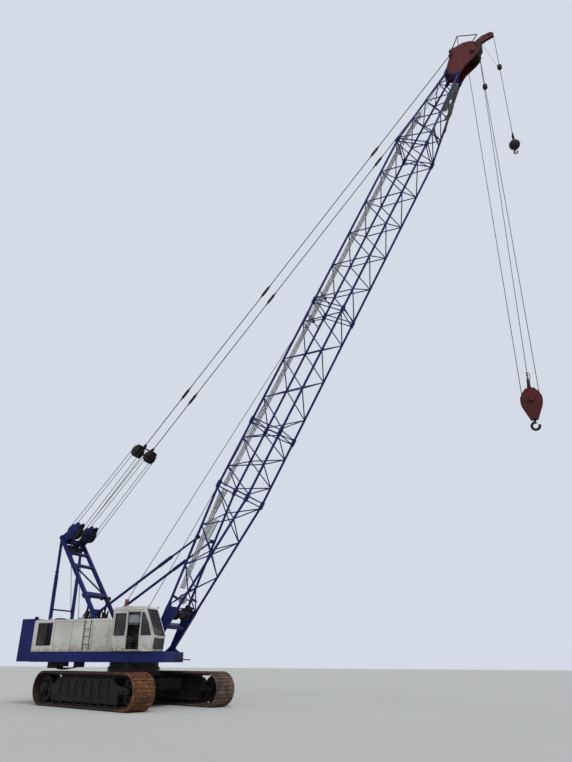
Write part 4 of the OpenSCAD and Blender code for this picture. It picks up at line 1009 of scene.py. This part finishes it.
# %% Luffing ropes
GANTRY_GROOVE = 0.29 + ROPE
BRIDLE_GROOVE = 0.23 + ROPE
stay_run = stay_pin - REEVE
tilt = math.degrees(math.atan2(stay_run.z, stay_run.x))
bridle_at = line @ move(BRIDLE_RUN, 0, 0)
bridle_centre = bridle_at.translation
luff_lines = [spread(line @ Vector((0, y, turn * GANTRY_GROOVE)),
                     line @ Vector((BRIDLE_RUN, y, turn * BRIDLE_GROOVE)), 6)
              for y in SHEAVE_Y for turn in SIDES]
rope("luff_falls", luff_lines, None, ("luff_head", "bridle", REEVE, bridle_centre))
rope("luff_turns_gantry", [arc(REEVE, GANTRY_GROOVE, tilt + 90, tilt + 270, y, 14) for y in SHEAVE_Y],
     "luff_head")
rope("luff_turns_bridle", [arc(bridle_centre, BRIDLE_GROOVE, tilt - 90, tilt + 90, y, 14) for y in SHEAVE_Y],
     "bridle")
rope("luff_lead", [spread((-2.93 - 0.222, y, 2.44), (REEVE.x - 0.24, y * 1.6, REEVE.z - 0.2), 4)
                   for y in (-0.25, 0.2)], "upper_works")

# %% [markdown]
# Plates hold the luffing sheaves together on both sides. The bridle's sheaves have hubs, capped
# pins, eyes for the pendants and bars that keep the ropes in their grooves.

# %% Luffing head plates
plates = bmesh.new()
leaf = [(-0.34, -0.10), (-0.24, -0.19), (0.10, -0.20), (0.44, -0.10), (0.50, 0.0), (0.44, 0.10), (0.10, 0.20),
        (-0.24, 0.19), (-0.34, 0.10)]
for y in (-0.668, -0.326, 0.314, 0.656):
    gasket(plates, leaf, 0, 0.012, 0.04, line @ move(0, y + 0.012, 0) @ ACROSS)
for side in SIDES:
    for x, z in ((0.40, 0.0), (-0.24, 0.12), (-0.24, -0.12)):
        rod(plates, (x, side * 0.32, z), (x, side * 0.668, z), 0.022, 10, at=line)
piece("luff_head_plates", plates, navy, "luff_head")

# %% Bridle fittings
bridle = bmesh.new()
for y in SHEAVE_Y:
    cheeks_of_hub(bridle, [(0.05, 0), (0.08, 0), (0.085, 0.032), (0.23, 0.032), (0.25, 0.028)],
                  bridle_at @ move(0, y, 0) @ ACROSS, 24)
for side in SIDES:
    cap(bridle, bridle_at @ outward(side, 0, 0.74, 0), 0.05, 0.03, 0.07, 0.02, 18)
    turned(bridle, [(0, 0.02), (0.03, 0.02), (0.045, 0.01), (0.045, -0.1), (0, -0.1)],
           bridle_at @ outward(side, 0.405, 0.36, 0), 16)
    for angle in (-0.9, 0.0, 0.9, 2.4, 3.9):
        x, z = 0.285 * math.cos(angle), 0.285 * math.sin(angle)
        rod(bridle, (x, side * 0.28, z), (x, side * 0.72, z), 0.012, at=bridle_at)
    block(bridle, (0.25, side * 0.5 - 0.16, -0.075), (0.335, side * 0.5 + 0.16, 0.075), bridle_at, 0.012)
piece("bridle_fittings", bridle, dark_frame, "bridle")

# %% [markdown]
# The boom's sections are joined by forked ears and pins at their corners. Expanded metal covers
# the walkway and its two platforms.

# %% Boom fittings
EAR_Y = 0.058


def tip_face(s):
    """Half height and half width of the boom's tip along its length."""
    share = (s - SECTIONS[3]) / (SECTIONS[4] - SECTIONS[3])
    return BOOM_HALF_H - TIP_TAPER_H * share, BOOM_HALF_W - TIP_TAPER_W * share


def rear_face(s):
    """Height of the boom's rear chords along its length. They rise over the base section."""
    if s < SECTIONS[0]:
        return FOOT_HALF_H + (BOOM_HALF_H - FOOT_HALF_H) * (s - FOOT_END) / (SECTIONS[0] - FOOT_END)
    return tip_face(max(s, SECTIONS[3]))[0]


ears = bmesh.new()
for s in SECTIONS:
    half_h, half_w = tip_face(max(s, SECTIONS[3]))
    for y, t in ((side * half_w, up * half_h) for side in SIDES for up in SIDES):
        for k in SIDES:
            chunk(ears, (s, y + k * EAR_Y, t), (0.17, 0.011, 0.062), boom, 0.02)
            chunk(ears, (s + k * 0.10, y, t), (0.02, 0.066, 0.066), boom, 0.006)
        rod(ears, (s, y - 0.095, t), (s, y + 0.095, t), 0.034, 12, at=boom)
piece("boom_joint_ears", ears, navy, "boom")


def mesh_panel(mesh, start, end, t_start, t_end, y_low, y_high, pitch=0.045):
    """Expanded metal between two points of the boom, made as crossing flat bars."""
    run = math.hypot(end - start, t_end - t_start)
    at = boom @ move(start, 0, t_start) @ spin(-math.atan2(t_end - t_start, end - start))
    for k in range(int(run / pitch) + 1):
        block(mesh, (k * pitch - 0.003, y_low, -0.003), (k * pitch + 0.003, y_high, 0.004), at)
    columns = max(2, int((y_high - y_low) / pitch))
    for k in range(columns + 1):
        y = y_low + k * (y_high - y_low) / columns
        block(mesh, (0, y - 0.003, -0.006), (run, y + 0.003, 0.006), at)


gratings = bmesh.new()
for start, end in ((2.45, 6.63), (6.91, 16.0), (16.05, 25.12), (25.36, 27.14)):
    mesh_panel(gratings, start, end, rear_face(start) - 0.027, rear_face(end) - 0.027, -0.5, -0.19)
for start, end, t in ((5.73, 6.80, 0.46), (4.58, 5.53, 0.16)):
    mesh_panel(gratings, start, end, t, t, -0.70, -0.40)
    for y in (-0.72, -0.39):
        block(gratings, (start - 0.02, y - 0.01, t - 0.025), (end + 0.02, y + 0.01, t + 0.02), boom)
piece("walkway_mesh", gratings, galvanised, "boom")

# %% [markdown]
# Rollers carry the hoist ropes along the rear chords. Each has its place along the boom, its
# height, and how far its shaft reaches to both sides.

# %% Rope rollers
ROLLER = 0.05
ROLLER_Y = 0.15
rollers = ((15.405, 0.86, 0.70), (16.665, 0.86, 0.70), (SECTIONS[3], 0.84, 0.70), (30.0, 0.42, 0.36),
           (31.25, 0.737, 0.36))
carriers = bmesh.new()
for s, t, half in rollers:
    axle(carriers, s, half, t, 0.02, 10, boom)
    for side in SIDES:
        for k in SIDES:
            rod(carriers, (s + k * 0.09, side * half, t - 0.11), (s, side * half, t), 0.018, at=boom)
        turned(carriers, [(0.02, -0.09), (0.075, -0.09), (0.08, -0.08), (ROLLER, -0.06), (ROLLER, 0.06),
                          (0.08, 0.08), (0.075, 0.09), (0.02, 0.09)],
               boom @ move(s, side * ROLLER_Y, t) @ ACROSS, 16)
# Fairlead in the head's web, and the small winch's motor and gear case
gasket(carriers, oblong(0.09, 0.26), 0.03, 0.04, 0.05, boom @ move(30.85, 0, 0.10))
for side in SIDES:
    end = boom @ outward(side, 1.48, 0.345, 0)
    turned(carriers, [(0, 0.14), (0.08, 0.14), (0.12, 0.12), (0.13, 0.0)], end, 20)
    stamp(carriers, bolt(0.02), circle_of(8, 0.2, end))
block(carriers, (1.30, -0.62, 0.08), (1.66, -0.38, 0.30), boom, 0.03, 2)
block(carriers, (1.62, 0.34, -0.16), (1.86, 0.60, 0.12), boom, 0.03, 2)
# Its pipes are clamped along the inside of the foot's right cheek
for k in range(3):
    y, t = -0.655 + 0.035 * k, 0.03 + 0.05 * k
    path = along_boom([(0.22, y, t - 0.04), (0.9, y, t), (1.20, y + 0.03, t + 0.04), (1.40, -0.52, t + 0.08)])
    tube(carriers, path, 0.014, True)
for s in (0.35, 0.70, 1.02):
    block(carriers, (s - 0.02, -0.70, -0.03), (s + 0.02, -0.56, 0.17), boom, 0.004)
piece("boom_rope_rollers", carriers, dark_frame, "boom")

guide = bmesh.new()
turned(guide, [(0.035, 0.0), (0.05, 0.012), (0.13, 0.006), (0.19, 0.004), (0.20, -0.004), (0.20, -0.03),
               (0.035, -0.03)], boom @ move(2.1, -0.334, 0.02) @ ACROSS, 28)
piece("guide_sheave_face", guide, galvanised, "boom")

# %% [markdown]
# Two hoist ropes leave the drums, run over the rollers and the head, and hang as the main falls
# and the whip line.

# %% Hoist ropes
HEAD_GROOVE = 0.30 + ROPE
NOSE_GROOVE = 0.17 + ROPE
MAIN_LEAVES = Vector((-1.503, -0.35, 2.344))
WHIP_LEAVES = Vector((-0.1045, -0.35, 2.358))
whip_roller, main_roller, joint_roller, tip_roller, head_roller = rollers
plumb = boom @ HEAD
whip = boom @ NOSE + Vector((NOSE_GROOVE, 0, 0))


def over(roller, y):
    """Where a rope runs on a roller, in the boom's frame."""
    return Vector((roller[0], y, roller[1] + ROLLER + ROPE))


def upper_run(over_rollers, centre, groove):
    """A rope's run up the boom, and over the sheave at centre until it hangs plumb."""
    away = over(*over_rollers[-1]) - centre
    away.y = 0
    land = math.degrees(math.atan2(away.z, away.x) - math.acos(groove / away.length))
    bend = arc(centre, groove, land, -BOOM_TILT, 0)
    return along_boom([over(*place) for place in over_rollers] + bend)


main_start = boom @ over(main_roller, -ROLLER_Y)
whip_start = boom @ over(whip_roller, ROLLER_Y)
rope("main_rope_low", [spread(MAIN_LEAVES, main_start, 40)], None,
     ("upper_works", "boom", MAIN_LEAVES, main_start))
rope("whip_rope_low", [spread(WHIP_LEAVES, whip_start, 40)], None,
     ("upper_works", "boom", WHIP_LEAVES, whip_start))
upper_main = upper_run([(main_roller, -0.15), (joint_roller, -0.10), (tip_roller, -0.04)], HEAD, HEAD_GROOVE)
second_sheave = along_boom(arc(HEAD, HEAD_GROOVE, 180 - BOOM_TILT, -BOOM_TILT, 0.15, 14))
upper_whip = upper_run([(whip_roller, 0.15), (main_roller, 0.15), (joint_roller, 0.14), (tip_roller, 0.13),
                        (head_roller, 0.10)], NOSE, NOSE_GROOVE)
rope("ropes_over_head", [upper_main, second_sheave, upper_whip], "boom")

fall_top = Vector((plumb.x, 0, plumb.z))
block_end = Vector((plumb.x, 0, 11.6))
socket_end = Vector((whip.x, 0, 23.8))
BLOCK_Z = 10.68
front, rear = plumb.x + HEAD_GROOVE, plumb.x - HEAD_GROOVE
falls = [spread((front, 0, BLOCK_Z), (front, 0, plumb.z), 24),
         spread((rear, 0, BLOCK_Z), (rear, 0.15, plumb.z), 24),
         spread((plumb.x, 0.075, BLOCK_Z + 0.905), (front, 0.15, plumb.z), 24)]
rope("hoist_falls", falls, None, ("main_hang", "hook_block", fall_top, block_end), replaced="main_falls")
rope("block_turn", [arc(Vector((plumb.x, 0, BLOCK_Z)), HEAD_GROOVE, 180, 360, 0, 16)], "hook_block")
rope("whip_rope_fall", [spread((whip.x, 0, 23.76), (whip.x, 0, whip.z), 16)], None,
     ("whip_hang", "whip_socket", Vector((whip.x, 0, whip.z)), socket_end), replaced="whip_line")

# %% [markdown]
# Two limit weights ride on the falls, each on a thin line from the head.

# %% Limit weights
weights = {"main": ("main_hang", Vector((front, 0, 27.08)), 0.10),
           "whip": ("whip_hang", Vector((whip.x, 0, 28.07)), 0.095)}
for name, (body, at, radius) in weights.items():
    weight = bmesh.new()
    full = radius + 0.012
    turned(weight, [(0.03, -0.11), (radius, -0.11), (full, -0.09), (full, 0.09), (radius, 0.11), (0.03, 0.11),
                    (0.03, -0.11)], move(*at), 20)
    piece(name + "_limit_weight", weight, hook_iron, body)
for name, start, knot, radius in (("main", (30.98, -0.30, -0.93), (0, 0, 0.1), 0.007),
                                  ("whip", (32.16, 0.072, -0.56), (-0.08, 0.04, 0.1), 0.006)):
    body, at, _ = weights[name]
    start = boom @ Vector(start)
    path = spread(start, at + Vector(knot), 10)
    rope(name + "_limit_line", [path], None, ("boom", body, start, at), radius)

# %% [markdown]
# The head's pins have capped ends with keeper bolts. The sheave hubs and the rope keepers are
# nearly black with rope grease, and a dark block across the front of the head is painted shade.

# %% Head fittings
cheek_bolts = ((30.0, -0.28), (30.0, 0.30), (30.5, -0.32), (31.12, 0.6), (31.75, 0.02), (30.75, 0.35),
               (31.62, -0.56))
rim = ((29.85, -0.37), (30.32, -0.42), (30.95, -0.68), (31.30, -0.775), (31.60, -0.66), (31.86, -0.25))
guard = ((31.22, 0.642), (32.20, 0.74), (32.36, -0.23), (31.9, -0.202))
head = bmesh.new()
for side in SIDES:
    axle_cap = boom @ outward(side, HEAD.x, HEAD_HALF + 0.005, HEAD.z)
    cap(head, axle_cap, 0.09, 0.05, 0.115, 0.035, 20)
    stamp(head, bolt(0.026), circle_of(6, 0.15, axle_cap))
    stamp(head, bolt(0.028), [boom @ outward(side, s, HEAD_HALF + 0.005, t) for s, t in cheek_bolts])
    # Stiffening rim along the cheek's edge, and wraps on the pipes of the frame that guards the ropes
    tube(head, along_boom([(s, side * HEAD_HALF, t) for s, t in rim]), 0.014)
    tube(head, along_boom([(s, side * (HEAD_HALF - 0.045), t) for s, t in guard]), 0.03)
    cap(head, boom @ outward(side, 30.93, HEAD_HALF + 0.08, 0.55), 0.05, 0.02, 0.06, 0.01, 16, -0.012)
    nose_cap = boom @ outward(side, NOSE.x, 0.074, NOSE.z)
    cap(head, nose_cap, 0.05, 0.03, 0.06, 0.02, 16)
    stamp(head, bolt(0.02), circle_of(4, 0.10, nose_cap))
piece("head_fittings", head, red, "boom")

grease_and_painted_shade = bmesh.new()
for y in (-0.15, 0.0, 0.15):
    cheeks_of_hub(grease_and_painted_shade, [(0.08, 0.034), (0.12, 0.036), (0.125, 0.024), (0.24, 0.024), (0.25, 0.036),
                           (0.30, 0.036)], boom @ move(HEAD.x, y, HEAD.z) @ ACROSS, 28)
for angle in (-1.25, -0.35, 0.55, 1.4):
    x, z = HEAD.x + 0.37 * math.cos(angle), HEAD.z + 0.37 * math.sin(angle)
    axle(grease_and_painted_shade, x, HEAD_HALF - 0.05, z, 0.018, at=boom)
# Painted shade: this dark block across the front of the head stands for the shading there, not a part
block(grease_and_painted_shade, (31.62, 0.07 - HEAD_HALF, -0.70), (31.86, HEAD_HALF - 0.07, -0.34), boom, 0.01)
cheeks_of_hub(grease_and_painted_shade, [(0.04, 0.032), (0.07, 0.032), (0.075, 0.02), (0.13, 0.02), (0.14, 0.032),
                       (0.17, 0.032)], boom @ move(*NOSE) @ ACROSS, 24)
piece("head_hubs_and_painted_shade", grease_and_painted_shade, dark_frame, "boom")

# %% [markdown]
# The hook block's cheeks have rolled edges, a capped axle and rope guards. A wedge socket on top
# holds the dead end of the rope, and both hooks have sprung safety latches.

# %% Hooks
block_at = move(plumb.x, 0, BLOCK_Z)
right_half = [(0.15, 0.475), (0.30, 0.30), (0.385, 0.11), (0.395, -0.02), (0.365, -0.17), (0.12, -0.76)]
kite = [(0.985 * x, 0.985 * z) for x, z in right_half + [(-x, z) for x, z in reversed(right_half)]]
plate_bolts = [move(x * k, y, 0) for x, y in ((0.11, 0.4), (0.28, 0.2), (0.12, -0.6)) for k in SIDES]
cheeks = bmesh.new()
for side in SIDES:
    tube(cheeks, [block_at @ Vector((x, side * 0.12, z)) for x, z in kite], 0.016, cyclic=True)
    axle_cap = block_at @ outward(side, 0, 0.12, 0)
    cap(cheeks, axle_cap, 0.07, 0.06, 0.095, 0.045, 20)
    stamp(cheeks, bolt(0.024), circle_of(6, 0.14, axle_cap) + [axle_cap @ place for place in plate_bolts])
    chunk(cheeks, (-0.21, side * 0.125, 0), (0.09, 0.006, 0.06), block_at, 0.004)
piece("hook_block_fittings", cheeks, red, "hook_block")

dark_rig = bmesh.new()
socket = block_at @ move(0, 0.075, 0)
block(dark_rig, (-0.075, -0.055, 0.44), (0.075, 0.055, 0.60), socket, 0.015, 2)
rod(dark_rig, (-0.01, 0, 0.58), (0.0, 0, 0.93), 0.075, 14, 0.032, at=socket)
axle(dark_rig, 0, 0.09, 0.50, 0.03, 12, socket)
for k in range(3):
    chunk(dark_rig, (0, 0, 0.98 + 0.10 * k), (0.045, 0.035, 0.02), socket, 0.01)
tail = ((0.05, 0, 0.85), (0.09, 0, 0.95), (0.10, 0.01, 1.1), (0.07, 0.0, 1.2))
tube(dark_rig, [socket @ Vector(point) for point in tail], ROPE, True)
for k in SIDES:
    axle(dark_rig, k * 0.335, 0.12, 0.10, 0.014, at=block_at)
    axle(dark_rig, k * 0.22, 0.12, -0.42, 0.02, at=block_at)
piece("rope_socket", dark_rig, hook_iron, "hook_block")


def latch(name, body, x, z, bowl):
    """A sprung flap from the shank to the hook's point, with its pivot lug. Sizes follow the bowl."""
    at = move(x + 0.25 * bowl, 0, z + 0.86 * bowl) @ Matrix.Scale(bowl, 4)
    flap = bmesh.new()
    block(flap, (0, -0.12, -0.02), (0.86, 0.12, 0.04), at @ spin(0.78), 0.02 * bowl)
    rod(flap, (0, -0.26, 0), (0, 0.26, 0), 0.09 * bowl, 10, at=at)
    for side in SIDES:
        chunk(flap, (-0.06, side * 0.2, 0.02), (0.14, 0.02, 0.12), at, 0.015 * bowl)
    piece(name, flap, bare_steel, body)


latch("main_latch", "main_hook", plumb.x, 9.6617, 0.14)
latch("whip_latch", "hook_ball", whip.x, 22.654, 0.08)
seam = bmesh.new()
ball = move(whip.x, 0, 23.08)
inner, outer = BALL_R - 0.004, BALL_R + 0.004
turned(seam, [(inner, -0.02), (outer, -0.012), (outer, 0.012), (inner, 0.02)], ball, 36)
turned(seam, [(0.05, 0.20), (0.09, 0.205), (0.085, 0.245), (0.05, 0.26), (0.05, 0.42)], ball, 20)
for z in (0.30, 0.39):
    axle(seam, 0, 0.052, z, 0.014, at=ball)
piece("ball_fittings", seam, hook_iron, "hook_ball")

# %% [markdown]
# Each pendant has connector links between its lengths, with pins through their eyes.

# %% Pendant links
links = bmesh.new()
fan = math.atan2(HEAD_HALF + 0.029 - SOCKET_Y, math.hypot(stay_run.x, stay_run.z) - BRIDLE_RUN)
for side in SIDES:
    at = bridle_at @ move(0, side * SOCKET_Y, 0) @ spin(side * fan, "Z")
    for s in (3.45, 9.63, 18.5):
        for k in SIDES:
            chunk(links, (s, k * 0.032, 0), (0.24, 0.01, 0.05), at, 0.012)
            dx = k * 0.19
            axle(links, s + dx, 0.055, 0, 0.026, 12, at)
            rod(links, (s + dx * 1.3, 0, 0), (s + dx * 2.1, 0, 0), 0.04, 12, 0.026, at)
piece("pendant_links", links, dark_frame, "boom")

# %% [markdown]
# A torn net hangs under the boom's tip. It is cut flat, its rim is torn away at random, and then
# it is laid along the front chords, where it sags between them in loose folds. A strip of it
# hangs free from the lacing below.

# %% Torn net
NET_TOP, NET_LENGTH, NET_WIDTH = 29.3, 2.4, 1.10
STRIP_WIDTH, STRIP_LENGTH = 0.16, 1.5
net_random = random.Random(11)


def hung(point):
    """Where a point of the flat net, in metres down and across, hangs on the boom."""
    s = NET_TOP - point.x
    half_h, half_w = tip_face(s)
    across = point.y / (NET_WIDTH / 2)
    fold = 0.035 * math.sin(5.1 * point.x + 2.2 * across) + 0.02 * math.sin(13 * point.x - 5 * across)
    sag = (1 - across ** 4) * (0.035 + fold * min(1, 0.3 + point.x) + 0.045 * point.x)
    return boom @ Vector((s + 0.02 * math.sin(9 * across), across * half_w, -half_h - 0.058 - max(sag, 0)))


def is_torn(x, y):
    """Whether the net is gone at a point, past its ragged lower edge or in one of two holes."""
    edge = (x - 1.75 - 0.5 * y) / 0.65 + 0.35 * math.sin(17 * y + 1) + 0.3 * net_random.random()
    return edge > 0.75 or math.hypot(x - 1.1, (y + 0.25) * 1.5) < 0.14 or math.hypot(x - 1.5, y - 0.28) < 0.10


net = grid(62, 28, (NET_LENGTH, NET_WIDTH), (NET_LENGTH / 2, 0, 0))
torn = [face for face in net.faces if is_torn(*face.calc_center_median().xy)]
bmesh.ops.delete(net, geom=torn, context="FACES")
net_area = sum(face.calc_area() for face in net.faces)
for vert in net.verts:
    vert.co = hung(vert.co)
net_piece = piece("torn_net", net, netting, "boom", 180)

strip = grid(4, 40, (STRIP_WIDTH, STRIP_LENGTH), (0, -STRIP_LENGTH / 2, 0))
strip_top = boom @ Vector((27.42, 0.52, 0.06))
for vert in strip.verts:
    x, down = vert.co.x, -vert.co.y
    wide = x * (1 - 0.5 * (down / STRIP_LENGTH) ** 3)
    turn = 0.9 * math.sin(1.7 * down)
    vert.co = strip_top + Vector((wide * math.sin(turn) - 0.05 * math.sin(3 * down), wide * math.cos(turn),
                                  -down - 0.02))
strip_piece = piece("net_strip", strip, netting, "boom", 180)

# %% [markdown]
# A plain pale floor and soft daylight. What the camera, a reflection or a window sees of the sky is
# pale, and the sky lights the machine at a plainer level, with two wide lamps.

# %% Stage and light
SKY_SEEN = rgb(0.66, 0.71, 0.80)
SKY_LIGHT = rgb(0.34, 0.355, 0.38)
FLOOR_SIZE = 300


def floor_finish():
    finish = Finish("floor", Roughness=0.9)
    mottle = finish.noise(0.15, 3).between(0.3, 0.7)
    finish.feed(Base_Color=mottle.mix(rgb(0.62, 0.62, 0.60), rgb(0.64, 0.64, 0.62)))
    return finish.material


def sun(name, direction, strength, angle):
    data = bpy.data.lights.new(name, "SUN")
    data.energy = strength
    data.angle = math.radians(angle)
    lamp = bpy.data.objects.new(name, data)
    lamp.rotation_euler = Vector(direction).to_track_quat("-Z", "Y").to_euler()
    bpy.context.scene.collection.objects.link(lamp)


piece("floor", grid(1, 1, (FLOOR_SIZE, FLOOR_SIZE)), floor_finish(), None)
world = bpy.data.worlds.new("sky")
bpy.context.scene.world = world
world.use_nodes = True
background = world.node_tree.nodes["Background"]
ray = world.node_tree.nodes.new("ShaderNodeLightPath").outputs
seen = Wire(ray["Is Camera Ray"]) + Wire(ray["Is Glossy Ray"]) + Wire(ray["Is Transmission Ray"])
world.node_tree.links.new(seen.at_most_one().mix(SKY_LIGHT, SKY_SEEN).socket, background.inputs["Color"])
sun("key", (-0.5, 0.55, -0.8), 1.35, 25)
sun("fill", (-0.1, 0.9, -0.25), 0.55, 60)
bpy.context.scene.view_settings.view_transform = "Standard"
print("floor, sky and two lamps")
